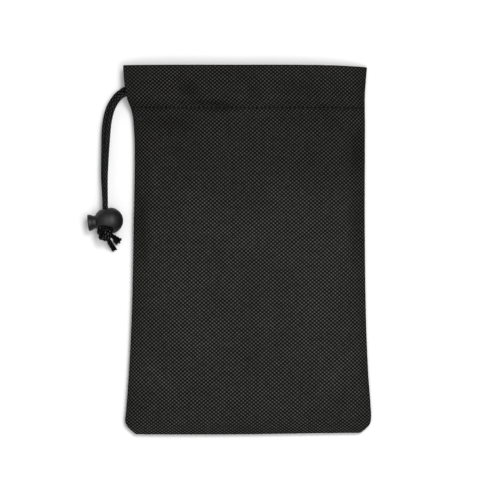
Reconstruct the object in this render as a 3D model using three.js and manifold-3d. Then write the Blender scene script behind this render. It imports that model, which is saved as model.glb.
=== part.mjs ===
// Soft drawstring pouch for glasses, with a spring cord stop on its drawstring.
// Millimetres. The pouch lies on its back panel: +X to its right, +Y to its mouth, +Z up through it.
// The origin is the middle of the pouch's footprint, on the surface that it lies on.

import * as THREE from 'three';
import { mergeVertices } from 'three/addons/utils/BufferGeometryUtils.js';
import Module from 'manifold-3d';

const wasm = await Module();
wasm.setup();

// ---------------------------------------------------------------- driving dimensions

const POUCH_LENGTH = 180;
const FABRIC = 0.45; // thickness of the non-woven cloth
const GAP = 0.3; // running gap between solids that touch on the real pouch
const MOUTH_Y = POUCH_LENGTH / 2;
const BOTTOM_Y = -POUCH_LENGTH / 2;

// Half outlines, as [y, x] from the bottom seam to the mouth. Between them the edge is a smooth curve.
const LEFT_EDGE = [[-90, -54.1], [-89.3, -55.4], [-86, -59], [-83.3, -60], [-78, -59.5], [-58.9, -58.1],
  [-29.7, -56.7], [6.9, -55.9], [48.3, -55.3], [63, -56], [68.8, -57.1], [73.2, -58.7], [78.5, -59.8],
  [84, -60.5], [90, -60.9]];
const RIGHT_EDGE = [[-90, 54.4], [-89.2, 56], [-86, 59.5], [-82.6, 60.4], [-77, 60.2], [-58.9, 58.9], [-29.7, 57.8],
  [14.2, 57.3], [60.5, 57.4], [74.7, 57.3], [80.5, 57.6], [90, 58.4]];

const STITCH_Y = 68.9; // the hem's stitch line, 21 mm below the mouth
const HEM_TURN = 1; // how far the facing runs on below its stitch line
const SIDE_SEAM_Z = 3; // height of the side and bottom seams
const SEAM_GAP = 1; // between the two panels' edges, where the seam thread runs
const BODY_HEIGHT = 11.25; // top of the front panel at the stitch line
const PUFF_HEIGHT = 0.9; // how much higher the body stands halfway down
const PUFF_BOTTOM_Y = -60; // the puff starts here and ends at the stitch line
const BOTTOM_SLOPE = 26; // length over which the front panel rises from the bottom seam
const BACK_SLOPE = 14; // and the back panel comes down to the surface
const FLAT_SHARE = 0.78; // share of the half width over which the back panel lies flat
const OPEN_END_Y = 65; // the left side seam stops here, below the hem's open end
const OPEN_END_SLOPE = 9; // length over which the two panels part above it
const OPEN_END_Z = 7.3; // top of the hem's left edge, less the channel's bulge
const CHANNEL_BULGE = 0.5; // share of the channel's opening by which the front panel stands up over it

const CORD = 2.3; // drawstring diameter
const CORD_SIDES = 8;
const CHANNEL_GAP = CORD + 2 * GAP; // inside height of each channel, around its cord
const CHANNEL_Y = 77; // the drawstring's line in the channel
const CHANNEL_SPREAD = 1.2; // how far the front and back runs lie to each side of that line at the open end
const CHANNEL_START_X = -57.6; // the runs' ends, beside the free legs
const CHANNEL_SPREAD_LENGTH = 20; // length over which the runs spread from the channel's line
const LOWER_CHANNEL_SLOPE = 4.6; // length over which the channel opens above the stitches
const UPPER_CHANNEL_SLOPE = 7; // and closes below the mouth
const FACING_RIGHT = 45; // the facings end here, so that the cord can turn from front to back
const FACING_LAST = 13; // how many of the panels' stations across the facings share
const TURN_X = 51.5; // where the cord starts that turn

const THREAD = 0.4;
const THREAD_SIDES = 5;
const SEAM_THREAD_INSET = 1; // of the side and bottom seams' threads, behind the panels' edges
const HEM_THREAD_X = [-51, 44];
const LEFT_THREAD_Y = [-82.5, 66];
const RIGHT_THREAD_Y = [-82, 89];
const BOTTOM_THREAD_X = [-52.5, 52.8];

const BALL_R = 6.4;
const BALL = new THREE.Vector3(-67.2, 13.95, BALL_R);
const BALL_STRETCH = 1.45; // how much longer than round the ball is, towards the plunger's head
const PLUNGER_TILT = THREE.MathUtils.degToRad(6); // its outer end points a little towards the bottom
const PLUNGER_R = 3.2;
const PLUNGER_CLEARANCE = 0.15;
const PLUNGER_EDGE = 0.3; // chamfer of the plunger's two ends
const HEAD_R = 4;
const HEAD_FACE = -10.8; // along the plunger's axis from the ball's centre
const HEAD_RIM = 1.9;
const HEAD_FLARE_END = -8.55; // clear of the ball's mouth when pressed
const PLUNGER_END = 0.9;
const BORE_END = 3.2;
const POCKET_R = 2.6;
const POCKET_END = 5;
const SLOT_LEFT = -73.45; // the plunger's cord slot, which leaves room for its stroke
const SLOT_RIGHT = -68;
const SLOT_HEIGHT = 5.3;
const SLOT_CORNER = 1.4;
const CORD_HOLE_R = 2.65;
const CORD_HOLE_X = -69.6;
const FLARE_AXIS = new THREE.Vector3(-0.2, -0.88, 0.36).normalize(); // the ball's lower mouth faces a little up
const FLARE_START = 3.5; // along that axis from the ball's centre
const FLARE_START_R = 2.9;
const FLARE_R = 4.4; // where the flare meets the ball's surface
const SPRING_R = 2.05;
const SPRING_WIRE = 0.36;
const SPRING_TURNS = 4.5;

const KNOT = new THREE.Vector3(-69.35, 8, 9.6);
const KNOT_RADII = new THREE.Vector3(3.65, 3.4, 3.1);
const KNOT_SEAT_R = 3.95; // spherical flare of the ball's lower mouth, which the knot sits in

// The two free legs of the drawstring, from the channel's open end to the knot.
const UPPER_LEG = [[-58.3, 76.4, 7], [-60.4, 75.4, 6.85], [-62.2, 74.15, 6.6], [-63.8, 72.5, 6.4],
  [-65.1, 70.4, 6.25], [-66.2, 68, 6.2], [-67, 65.2, 6.2], [-67.65, 61.8, 6.3], [-68.1, 57.8, 6.5],
  [-68.45, 53, 6.85], [-68.75, 48.6, 7.15], [-69, 44.4, 7.4], [-69.2, 40.4, 7.5], [-69.4, 36, 7.55],
  [-69.45, 30.5, 7.6], [-69.4, 24, 7.6], [-69.35, 16, 7.6], [-69.35, 11.8, 7.7]];
const LOWER_LEG = [[-58.3, 79.2, 1.9], [-60.6, 78.2, 2], [-62.7, 76.8, 2.25], [-64.5, 75.2, 2.5],
  [-66.1, 73, 2.75], [-67.5, 70.6, 3], [-68.6, 67.8, 3.3], [-69.4, 64.6, 3.6], [-70, 61, 3.9],
  [-70.35, 57, 4.15], [-70.4, 52.6, 4.55], [-70.45, 48.4, 4.95], [-70.5, 44.2, 5.3], [-70.55, 40, 5.45],
  [-70.55, 35, 5.45], [-70.25, 29.5, 5.35], [-69.95, 24.5, 5.2], [-69.85, 20, 5.2], [-69.85, 16, 5.2],
  [-69.8, 11, 5.2], [-69.7, 9, 5.3]];
const SHORT_END = [[-65.8, 6.2, 7.8], [-65.1, 5.65, 6.8], [-64.4, 5.1, 5.7], [-63.8, 4.5, 4.6], [-63.3, 3.9, 3.7]];
const LONG_END = [[-67.9, 4.1, 7.3], [-67.35, 3.05, 5.9], [-66.7, 1.95, 4.4], [-66.05, 0.85, 2.9],
  [-65.35, -0.3, 1.5]];

// ---------------------------------------------------------------- materials

const paint = (color, roughness, metalness = 0) => new THREE.MeshStandardMaterial({ color, roughness, metalness });
const FABRIC_BLACK = paint(0x2c2c2a, 0.9);
const THREAD_BLACK = paint(0x1a1a19, 0.7);
const CORD_BLACK = paint(0x20201f, 0.8);
const PLASTIC_BLACK = paint(0x383837, 0.5);
const SPRING_STEEL = paint(0xb4b6b8, 0.35, 1);

const part = new THREE.Group();

function addPiece(name, geometry, material) {
  const mesh = new THREE.Mesh(geometry, material);
  mesh.name = name;
  part.add(mesh);
  return mesh;
}

// ---------------------------------------------------------------- curves and heights

const clamp01 = (value) => Math.min(1, Math.max(0, value));
const smooth = (value) => THREE.MathUtils.smoothstep(value, 0, 1);
const mix = THREE.MathUtils.lerp;

// Height of a smooth curve through [position, value] pairs, by cubic Hermite pieces.
function curveThrough(pairs) {
  const slope = (i) => {
    const before = pairs[Math.max(i - 1, 0)];
    const after = pairs[Math.min(i + 1, pairs.length - 1)];
    return (after[1] - before[1]) / (after[0] - before[0]);
  };
  return (position) => {
    let i = 0;
    while (i < pairs.length - 2 && position > pairs[i + 1][0]) {
      i += 1;
    }
    const [start, startValue] = pairs[i];
    const [end, endValue] = pairs[i + 1];
    const step = end - start;
    const t = clamp01((position - start) / step);
    return startValue * (1 + 2 * t) * (1 - t) ** 2 + slope(i) * step * t * (1 - t) ** 2
      + endValue * t * t * (3 - 2 * t) + slope(i + 1) * step * t * t * (t - 1);
  };
}

const leftEdge = curveThrough(LEFT_EDGE);
const rightEdge = curveThrough(RIGHT_EDGE);
const planX = (u, y) => mix(leftEdge(y), rightEdge(y), (u + 1) / 2);
const acrossAt = (x, y) => 2 * (x - leftEdge(y)) / (rightEdge(y) - leftEdge(y)) - 1;

// 0 at the side seams, 1 over the middle of the pouch.
const crown = (u) => (1 - Math.abs(u) ** 5) ** 0.75;

// 0 at the bottom seam, 1 once the panel has risen from it.
const bottomRise = (y) => {
  const rise = clamp01((y - BOTTOM_Y) / BOTTOM_SLOPE);
  return (1 - (1 - rise) ** 3) ** 0.8;
};

// How far the channel is open between its panel and its facing: closed at the stitches and the mouth.
function channelOpening(y) {
  const opening = y < CHANNEL_Y
    ? smooth((y - STITCH_Y - 0.5) / LOWER_CHANNEL_SLOPE)
    : smooth((MOUTH_Y - 0.8 - y) / UPPER_CHANNEL_SLOPE);
  return mix(GAP, CHANNEL_GAP, opening);
}

// 0 below the hem, 1 beside the channel's open left end.
const openEnd = (u, y) => (u < 0 ? smooth((y - OPEN_END_Y) / OPEN_END_SLOPE) : 0);

// Outer face of the front panel.
function frontOuter(u, y) {
  const seamEdge = SIDE_SEAM_Z + SEAM_GAP / 2 + FABRIC;
  const bulge = (channelOpening(y) - GAP) * (y > STITCH_Y ? CHANNEL_BULGE : 0);
  const belly = PUFF_HEIGHT * Math.sin(Math.PI * clamp01((y - PUFF_BOTTOM_Y) / (STITCH_Y - PUFF_BOTTOM_Y)));
  const top = BODY_HEIGHT + belly + bulge;
  const edge = mix(seamEdge, OPEN_END_Z + bulge, openEnd(u, y));
  return mix(seamEdge, mix(edge, top, crown(u)), bottomRise(y));
}

// Outer face of the back panel, which is flat on the surface over most of the pouch.
function backOuter(u, y) {
  const seamEdge = SIDE_SEAM_Z - SEAM_GAP / 2 - FABRIC;
  const rise = smooth((Math.abs(u) - FLAT_SHARE) / (1 - FLAT_SHARE));
  const side = rise * (1 - openEnd(u, y));
  return seamEdge * Math.max(side, smooth(1 - (y - BOTTOM_Y) / BACK_SLOPE));
}

// ---------------------------------------------------------------- sheets

// A closed sheet between an upper and a lower surface. stations(y) lists where a row's points lie across it.
function sheet(upper, lower, rows, stations) {
  const positions = [];
  const index = [];
  for (const surface of [upper, lower]) {
    for (const y of rows) {
      for (const u of stations(y)) {
        positions.push(planX(u, y), y, surface(u, y));
      }
    }
  }
  const width = stations(rows[0]).length;
  const columns = width - 1;
  const lowerStart = rows.length * width;
  const quad = (a, b, c, d) => index.push(a, b, c, a, c, d);
  for (let j = 0; j < rows.length - 1; j += 1) {
    for (let i = 0; i < columns; i += 1) {
      const a = j * width + i;
      quad(a, a + 1, a + width + 1, a + width);
      quad(lowerStart + a, lowerStart + a + width, lowerStart + a + width + 1, lowerStart + a + 1);
    }
    const left = j * width;
    const right = left + columns;
    quad(left, left + width, lowerStart + left + width, lowerStart + left);
    quad(right, lowerStart + right, lowerStart + right + width, right + width);
  }
  for (let i = 0; i < columns; i += 1) {
    const far = (rows.length - 1) * width + i;
    quad(i, lowerStart + i, lowerStart + i + 1, i + 1);
    quad(far, far + 1, lowerStart + far + 1, lowerStart + far);
  }
  const geometry = new THREE.BufferGeometry();
  geometry.setAttribute('position', new THREE.Float32BufferAttribute(positions, 3));
  geometry.setIndex(index);
  geometry.computeVertexNormals();
  return geometry;
}

const evenly = (from, to, count) => Array.from({ length: count + 1 }, (_, i) => mix(from, to, i / count));
const HALF_STATIONS = [0.2, 0.4, 0.6, 0.73, 0.82, 0.89, 0.95, 1]; // closer together towards the seams
const ACROSS = [...HALF_STATIONS.map((u) => -u).reverse(), 0, ...HALF_STATIONS];
const HEM_ROWS = [STITCH_Y, 71.2, 73.5, 75.5, 78.6, 81.5, 84.5, 87.5, MOUTH_Y];
const PANEL_ROWS = [BOTTOM_Y, -89.3, -86.5, -83.3, -78, -71, ...evenly(-60, 62, 9), 65.5, ...HEM_ROWS];

function frontPanel() {
  return sheet(frontOuter, (u, y) => frontOuter(u, y) - FABRIC, PANEL_ROWS, () => ACROSS);
}

function backPanel() {
  return sheet((u, y) => backOuter(u, y) + FABRIC, backOuter, PANEL_ROWS, () => ACROSS);
}

// ---------------------------------------------------------------- hem facings, turned down inside the mouth

const frontFacingTop = (u, y) => frontOuter(u, y) - FABRIC - channelOpening(y);
const backFacingTop = (u, y) => backOuter(u, y) + 2 * FABRIC + channelOpening(y);
const FACING_ROWS = [STITCH_Y - HEM_TURN, ...HEM_ROWS.slice(0, -1), MOUTH_Y - 0.4];
const FACING_INSET = 0.4; // behind the panels' ends at the open end
const SEAM_INSET = 2.2; // further in where the side seam closes the pouch below it
const facingLeft = (y) => leftEdge(y) + FACING_INSET + SEAM_INSET * (1 - openEnd(-1, y));
const facingStations = (y) => [acrossAt(facingLeft(y), y), ...ACROSS.slice(1, FACING_LAST), acrossAt(FACING_RIGHT, y)];

function frontFacing() {
  return sheet(frontFacingTop, (u, y) => frontFacingTop(u, y) - FABRIC, FACING_ROWS, facingStations);
}

function backFacing() {
  return sheet(backFacingTop, (u, y) => backFacingTop(u, y) - FABRIC, FACING_ROWS, facingStations);
}

// ---------------------------------------------------------------- cords and threads

const toPoints = (list) => list.map(([x, y, z]) => new THREE.Vector3(x, y, z));

// A round tube with flat ends along a smooth curve through the points.
function tube(points, diameter, steps, sides) {
  const section = new THREE.Shape(Array.from({ length: sides }, (_, i) => {
    const angle = (2 * Math.PI * i) / sides;
    return new THREE.Vector2(diameter / 2 * Math.cos(angle), diameter / 2 * Math.sin(angle));
  }));
  const path = new THREE.CatmullRomCurve3(points, false, 'centripetal');
  return new THREE.ExtrudeGeometry(section, { steps, extrudePath: path, bevelEnabled: false });
}

// The drawstring inside the hem: through the front channel, round at the right end, back through the other.
function channelRun() {
  const frontLine = (x, y) => frontOuter(acrossAt(x, y), y) - FABRIC - CHANNEL_GAP / 2;
  const backLine = (x, y) => backOuter(acrossAt(x, y), y) + FABRIC + CHANNEL_GAP / 2;
  const spread = (x) => CHANNEL_SPREAD * (1 - clamp01((x - CHANNEL_START_X) / CHANNEL_SPREAD_LENGTH));
  const stations = [CHANNEL_START_X, -50, -42, -32, -16, 0, 16, 32, 42, 47];
  const runPoint = (x, y, line) => new THREE.Vector3(x, y, line(x, y));
  const front = stations.map((x) => runPoint(x, CHANNEL_Y - spread(x), frontLine));
  const back = stations.map((x) => runPoint(x, CHANNEL_Y + spread(x), backLine)).reverse();
  const high = frontLine(TURN_X, CHANNEL_Y);
  const low = backLine(TURN_X, CHANNEL_Y);
  const turn = [[0, high], [1.9, mix(low, high, 0.72)], [2.3, mix(low, high, 0.4)], [0.6, low + 0.15]]
    .map(([along, z]) => new THREE.Vector3(TURN_X + along, CHANNEL_Y, z));
  return tube([...front, ...turn, ...back], CORD, 72, CORD_SIDES);
}

// A seam thread along a line that a function of t in 0..1 gives.
function threadAlong(line, steps) {
  return tube(evenly(0, 1, steps).map((t) => line(t)), THREAD, steps, THREAD_SIDES);
}

function sideSeamThread(edge, inward, [from, to]) {
  return threadAlong((t) => {
    const y = mix(from, to, t);
    return new THREE.Vector3(edge(y) + inward, y, SIDE_SEAM_Z);
  }, 24);
}

function bottomSeamThread() {
  const [from, to] = BOTTOM_THREAD_X;
  return threadAlong((t) => new THREE.Vector3(mix(from, to, t), BOTTOM_Y + SEAM_THREAD_INSET, SIDE_SEAM_Z), 6);
}

function hemThread(height) {
  const [from, to] = HEM_THREAD_X;
  return threadAlong((t) => {
    const x = mix(from, to, t);
    return new THREE.Vector3(x, STITCH_Y, height(acrossAt(x, STITCH_Y)));
  }, 24);
}

// ---------------------------------------------------------------- booleans

function toManifold(geometry) {
  const bare = geometry.clone();
  bare.deleteAttribute('normal');
  bare.deleteAttribute('uv');
  const merged = mergeVertices(bare, 1e-4);
  return new wasm.Manifold(new wasm.Mesh({
    numProp: 3,
    vertProperties: new Float32Array(merged.attributes.position.array),
    triVerts: new Uint32Array(merged.index.array),
  }));
}

function toGeometry(solid) {
  const mesh = solid.getMesh();
  const geometry = new THREE.BufferGeometry();
  geometry.setAttribute('position', new THREE.Float32BufferAttribute(mesh.vertProperties, 3));
  geometry.setIndex(Array.from(mesh.triVerts));
  geometry.computeVertexNormals();
  return geometry;
}

// ---------------------------------------------------------------- cord stop

const PLUNGER_AXIS = new THREE.Vector3(Math.cos(PLUNGER_TILT), Math.sin(PLUNGER_TILT), 0);

// A lathed solid about an axis through the ball's centre: [along, radius] pairs, along = 0 at that centre.
function aboutAxis(axis, profile, segments) {
  const outline = profile.map(([along, radius]) => new THREE.Vector2(radius, along));
  const geometry = new THREE.LatheGeometry(outline, segments);
  geometry.applyQuaternion(new THREE.Quaternion().setFromUnitVectors(new THREE.Vector3(0, 1, 0), axis));
  geometry.translate(BALL.x, BALL.y, BALL.z);
  return geometry;
}

const rod = (from, to, radius, segments) =>
  aboutAxis(PLUNGER_AXIS, [[from, 0], [from, radius], [to, radius], [to, 0]], segments);

// The wide lower mouth of the cord hole, a cone that opens from the hole to the ball's surface.
function mouthFlare() {
  const rim = Math.sqrt(BALL_R ** 2 - FLARE_R ** 2);
  const slope = (FLARE_R - FLARE_START_R) / (rim - FLARE_START);
  const end = 2 * BALL_R;
  return aboutAxis(FLARE_AXIS, [[FLARE_START, 0], [FLARE_START, FLARE_START_R],
    [end, FLARE_R + slope * (end - rim)], [end, 0]], 32);
}

// The stop's outer shape: a ball drawn out a little towards the plunger's head.
function ballShape() {
  const ball = new THREE.SphereGeometry(BALL_R, 36, 24);
  ball.rotateX(Math.PI / 2);
  ball.translate(BALL.x, BALL.y, BALL.z);
  const outer = ball.clone();
  outer.translate(-BALL_STRETCH * PLUNGER_AXIS.x, -BALL_STRETCH * PLUNGER_AXIS.y, 0);
  return wasm.Manifold.hull([toManifold(ball), toManifold(outer)]);
}

function stopBody() {
  const hole = new THREE.CylinderGeometry(CORD_HOLE_R, CORD_HOLE_R, 4 * BALL_R, 28);
  hole.translate(CORD_HOLE_X, BALL.y, BALL.z);
  const seat = new THREE.SphereGeometry(KNOT_SEAT_R, 24, 16);
  seat.translate(KNOT.x, KNOT.y, KNOT.z);
  const bore = rod(-2 * BALL_R, BORE_END, PLUNGER_R + PLUNGER_CLEARANCE, 28);
  const pocket = rod(0, POCKET_END, POCKET_R, 24);
  const cuts = [hole, mouthFlare(), seat, bore, pocket];
  return cuts.reduce((solid, cut) => solid.subtract(toManifold(cut)), ballShape());
}

function plunger() {
  const waist = (HEAD_FACE + HEAD_RIM + HEAD_FLARE_END) / 2;
  const body = aboutAxis(PLUNGER_AXIS, [[HEAD_FACE, 0], [HEAD_FACE, HEAD_R - PLUNGER_EDGE],
    [HEAD_FACE + PLUNGER_EDGE, HEAD_R], [HEAD_FACE + HEAD_RIM, HEAD_R], [waist, (HEAD_R + PLUNGER_R) / 2],
    [HEAD_FLARE_END, PLUNGER_R], [PLUNGER_END - PLUNGER_EDGE, PLUNGER_R],
    [PLUNGER_END, PLUNGER_R - PLUNGER_EDGE], [PLUNGER_END, 0]], 28);
  const half = (SLOT_RIGHT - SLOT_LEFT) / 2;
  const tall = SLOT_HEIGHT / 2;
  const outline = new THREE.Shape();
  outline.moveTo(-half + SLOT_CORNER, -tall);
  outline.lineTo(half - SLOT_CORNER, -tall);
  outline.absarc(half - SLOT_CORNER, -tall + SLOT_CORNER, SLOT_CORNER, -Math.PI / 2, 0);
  outline.absarc(half - SLOT_CORNER, tall - SLOT_CORNER, SLOT_CORNER, 0, Math.PI / 2);
  outline.absarc(-half + SLOT_CORNER, tall - SLOT_CORNER, SLOT_CORNER, Math.PI / 2, Math.PI);
  outline.absarc(-half + SLOT_CORNER, -tall + SLOT_CORNER, SLOT_CORNER, Math.PI, 1.5 * Math.PI);
  const slot = new THREE.ExtrudeGeometry(outline, { depth: 4 * PLUNGER_R, bevelEnabled: false, curveSegments: 5 });
  slot.rotateX(Math.PI / 2);
  slot.translate((SLOT_LEFT + SLOT_RIGHT) / 2, BALL.y + 2 * PLUNGER_R, BALL.z);
  return toManifold(body).subtract(toManifold(slot));
}

function spring() {
  const start = PLUNGER_END + GAP + SPRING_WIRE / 2;
  const end = POCKET_END - GAP - SPRING_WIRE / 2;
  const side = new THREE.Vector3(-Math.sin(PLUNGER_TILT), Math.cos(PLUNGER_TILT), 0);
  const stepsPerTurn = 12;
  const count = SPRING_TURNS * stepsPerTurn;
  const points = evenly(0, 1, count).map((t) => {
    const angle = 2 * Math.PI * SPRING_TURNS * t;
    return BALL.clone()
      .addScaledVector(PLUNGER_AXIS, mix(start, end, t))
      .addScaledVector(side, SPRING_R * Math.cos(angle))
      .add(new THREE.Vector3(0, 0, SPRING_R * Math.sin(angle)));
  });
  return tube(points, SPRING_WIRE, count, 6);
}

// ---------------------------------------------------------------- knot

function knot() {
  const geometry = new THREE.SphereGeometry(1, 18, 12);
  geometry.scale(KNOT_RADII.x, KNOT_RADII.y, KNOT_RADII.z);
  geometry.translate(KNOT.x, KNOT.y, KNOT.z);
  return geometry;
}

// ---------------------------------------------------------------- assembly

addPiece('front_panel', frontPanel(), FABRIC_BLACK);
addPiece('back_panel', backPanel(), FABRIC_BLACK);
addPiece('front_hem_facing', frontFacing(), FABRIC_BLACK);
addPiece('back_hem_facing', backFacing(), FABRIC_BLACK);

const clearOfFabric = GAP + THREAD / 2;
addPiece('front_hem_stitching', hemThread((u) => frontOuter(u, STITCH_Y) + clearOfFabric), THREAD_BLACK);
addPiece('back_hem_stitching', hemThread((u) => backFacingTop(u, STITCH_Y) + clearOfFabric), THREAD_BLACK);
addPiece('left_seam_stitching', sideSeamThread(leftEdge, SEAM_THREAD_INSET, LEFT_THREAD_Y), THREAD_BLACK);
addPiece('right_seam_stitching', sideSeamThread(rightEdge, -SEAM_THREAD_INSET, RIGHT_THREAD_Y), THREAD_BLACK);
addPiece('bottom_seam_stitching', bottomSeamThread(), THREAD_BLACK);

addPiece('drawstring_channel_run', channelRun(), CORD_BLACK);
addPiece('drawstring_upper_leg', tube(toPoints(UPPER_LEG), CORD, 30, CORD_SIDES), CORD_BLACK);
addPiece('drawstring_lower_leg', tube(toPoints(LOWER_LEG), CORD, 30, CORD_SIDES), CORD_BLACK);
addPiece('drawstring_knot', knot(), CORD_BLACK);
addPiece('drawstring_short_end', tube(toPoints(SHORT_END), CORD, 6, CORD_SIDES), CORD_BLACK);
addPiece('drawstring_long_end', tube(toPoints(LONG_END), CORD, 8, CORD_SIDES), CORD_BLACK);

addPiece('cord_stop_body', toGeometry(stopBody()), PLASTIC_BLACK);
addPiece('cord_stop_plunger', toGeometry(plunger()), PLASTIC_BLACK);
addPiece('cord_stop_spring', spring(), SPRING_STEEL);

export default part;
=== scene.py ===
"""Looks for the soft drawstring glasses pouch: cloth, braided cord, cord stop, stitching, camera and light.

Metres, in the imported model's frame: the pouch lies on z = 0 with its mouth towards +Y.
"""

import math

import bmesh
import bpy
import numpy as np
from mathutils import Matrix, Vector


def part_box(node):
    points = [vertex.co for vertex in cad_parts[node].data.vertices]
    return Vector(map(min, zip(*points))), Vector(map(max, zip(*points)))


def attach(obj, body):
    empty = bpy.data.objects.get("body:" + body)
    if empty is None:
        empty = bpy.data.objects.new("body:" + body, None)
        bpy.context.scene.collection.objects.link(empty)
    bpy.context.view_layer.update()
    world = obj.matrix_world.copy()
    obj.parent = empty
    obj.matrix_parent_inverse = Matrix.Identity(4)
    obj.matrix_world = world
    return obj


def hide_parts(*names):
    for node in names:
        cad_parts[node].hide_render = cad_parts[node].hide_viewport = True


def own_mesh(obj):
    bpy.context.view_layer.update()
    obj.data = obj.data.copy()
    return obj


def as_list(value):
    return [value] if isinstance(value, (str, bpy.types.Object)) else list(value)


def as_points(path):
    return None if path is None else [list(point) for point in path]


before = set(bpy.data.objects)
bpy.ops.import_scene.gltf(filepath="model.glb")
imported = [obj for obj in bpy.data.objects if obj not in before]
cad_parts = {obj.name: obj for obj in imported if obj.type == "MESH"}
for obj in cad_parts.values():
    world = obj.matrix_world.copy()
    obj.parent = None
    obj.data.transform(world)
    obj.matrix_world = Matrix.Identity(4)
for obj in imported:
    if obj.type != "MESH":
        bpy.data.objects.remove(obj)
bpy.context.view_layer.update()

MM = 0.001

# ---------------------------------------------------------------- camera, floor and light

VIEW_CENTRE = (1.1 * MM, -0.4 * MM)
VIEW_WIDTH = 244.4 * MM  # what the frame spans at the height of the pouch's edges
VIEW_HEIGHT = 5 * MM
CAMERA_HEIGHT = 1.2
SENSOR = 36.0

FLOOR_SIZE = 8.0
FLOOR_WHITE = 0.7
KEY_PLACE = (0.42, 0.58, 1.7)
KEY_SIZE = 0.5
KEY_WATTS = 16.0
BOX_PLACE = (0.06, -0.03, 0.42)  # a soft box above the lower half, which leaves the mouth darker
BOX_SIZE = 0.24
BOX_WATTS = 0.95
SKY_HORIZON = 0.0  # world strength at the horizon and overhead
SKY_ZENITH = 1.0


def linked(name, data):
    """A new object in the scene."""
    thing = bpy.data.objects.new(name, data)
    bpy.context.scene.collection.objects.link(thing)
    return thing


def linked_mesh(name, points, faces):
    mesh = bpy.data.meshes.new(name)
    mesh.from_pydata(points, [], faces)
    return linked(name, mesh)


def make_camera():
    data = bpy.data.cameras.new("camera")
    data.sensor_width = SENSOR
    data.lens = SENSOR * (CAMERA_HEIGHT - VIEW_HEIGHT) / VIEW_WIDTH
    data.clip_start = 0.01
    camera = linked("camera", data)
    camera.location = (*VIEW_CENTRE, CAMERA_HEIGHT)
    bpy.context.scene.camera = camera


def area_light(name, place, size, watts):
    """A disk of light that faces the origin and isn't seen itself."""
    data = bpy.data.lights.new(name, "AREA")
    data.shape = "DISK"
    data.size = size
    data.energy = watts
    light = linked(name, data)
    light.location = place
    light.rotation_euler = Vector(place).to_track_quat("Z", "Y").to_euler()
    light.visible_camera = False


def make_light():
    scene = bpy.context.scene
    scene.view_settings.view_transform = "Standard"
    area_light("key", KEY_PLACE, KEY_SIZE, KEY_WATTS)
    area_light("soft_box", BOX_PLACE, BOX_SIZE, BOX_WATTS)

    world = bpy.data.worlds.new("studio")
    world.use_nodes = True
    scene.world = world
    tree = world.node_tree
    background = tree.nodes["Background"]
    background.inputs["Color"].default_value = (1, 1, 1, 1)
    coordinates = tree.nodes.new("ShaderNodeTexCoord")
    split = tree.nodes.new("ShaderNodeSeparateXYZ")
    upwards = tree.nodes.new("ShaderNodeMapRange")
    upwards.interpolation_type = "SMOOTHSTEP"
    upwards.inputs["To Min"].default_value = SKY_HORIZON
    upwards.inputs["To Max"].default_value = SKY_ZENITH
    tree.links.new(coordinates.outputs["Generated"], split.inputs[0])
    tree.links.new(split.outputs["Z"], upwards.inputs["Value"])
    tree.links.new(upwards.outputs["Result"], background.inputs["Strength"])


# ---------------------------------------------------------------- node materials


class Shader:
    """A node material: add() makes a node, and values or sockets go to its inputs by name or number."""

    def __init__(self, name):
        self.material = bpy.data.materials.new(name)
        self.material.use_nodes = True
        self.tree = self.material.node_tree
        self.surface = self.tree.nodes["Principled BSDF"]

    def put(self, socket, value):
        if isinstance(value, bpy.types.NodeSocket):
            self.tree.links.new(value, socket)
        else:
            socket.default_value = value

    def add(self, kind, inputs, output=0, **settings):
        node = self.tree.nodes.new(kind)
        for key, value in settings.items():
            setattr(node, key, value)
        for key, value in inputs.items():
            self.put(node.inputs[key], value)
        return node.outputs[output]

    def math(self, operation, first, second=0.0):
        return self.add("ShaderNodeMath", {0: first, 1: second}, operation=operation)

    def times(self, first, *others):
        for other in others:
            first = self.math("MULTIPLY", first, other)
        return first

    def noise(self, vector, scale, detail=2.0):
        inputs = {"Vector": vector, "Scale": scale, "Detail": detail}
        return self.add("ShaderNodeTexNoise", inputs, "Fac")

    def streaks(self, vector, scale, turn, detail=2.0):
        """Noise with its own scale in each direction, turned about z."""
        inputs = {"Vector": vector, "Scale": scale, "Rotation": (0, 0, turn)}
        return self.noise(self.add("ShaderNodeMapping", inputs), 1.0, detail)

    def steps(self, value, low, high, to_low=0.0, to_high=1.0):
        inputs = {"Value": value, "From Min": low, "From Max": high, "To Min": to_low, "To Max": to_high}
        return self.add("ShaderNodeMapRange", inputs, interpolation_type="SMOOTHSTEP")

    def ramp(self, value, *stops):
        node = self.tree.nodes.new("ShaderNodeValToRGB")
        while len(node.color_ramp.elements) < len(stops):
            node.color_ramp.elements.new(0.5)
        for element, (position, colour) in zip(node.color_ramp.elements, stops):
            element.position = position
            element.color = (*colour, 1)
        self.put(node.inputs[0], value)
        return node.outputs["Color"]

    def bump(self, height, distance, strength=1.0, under=None):
        inputs = {"Height": height, "Distance": distance, "Strength": strength}
        if under is not None:
            inputs["Normal"] = under
        return self.add("ShaderNodeBump", inputs)

    def finish(self, **inputs):
        for name, value in inputs.items():
            self.put(self.surface.inputs[name.replace("_", " ")], value)
        return self.material


def grey(value, warm=0.0):
    """A grey, with less blue in it the warmer it is."""
    return (value * (1 + 0.2 * warm), value, value * (1 - 2 * warm))


DOT_ACROSS = 2.03 * MM  # the emboss's period along a row; every other row is shifted by half of it
DOT_ALONG = 1.80 * MM
DOT_WANDER = 0.45 * MM
FELT_SCALE = (9000, 1600, 1)  # fine across the fibres and long along them
CLOTH_TONE = 1.02
CLOTH_RAMP = ((0.0, 0.001, 0.0), (0.42, 0.0055, 0.03), (0.7, 0.021, 0.03), (1.0, 0.058, 0.03))  # grey, warmth
MOUTH_SHADE_START, MOUTH_SHADE_END = 105 * MM, 150 * MM  # along the flat cloth, over which painted shade darkens it towards the mouth
MOUTH_SHADE_TONE = 0.74
FLANK_SHADE_START, FLANK_SHADE_END = 48 * MM, 63 * MM  # towards the side seams, where painted shade darkens the cloth's sloping flanks
RIGHT_FLANK_SHADE_TONE = 0.7
LEFT_FLANK_SHADE_TONE = 0.88


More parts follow.
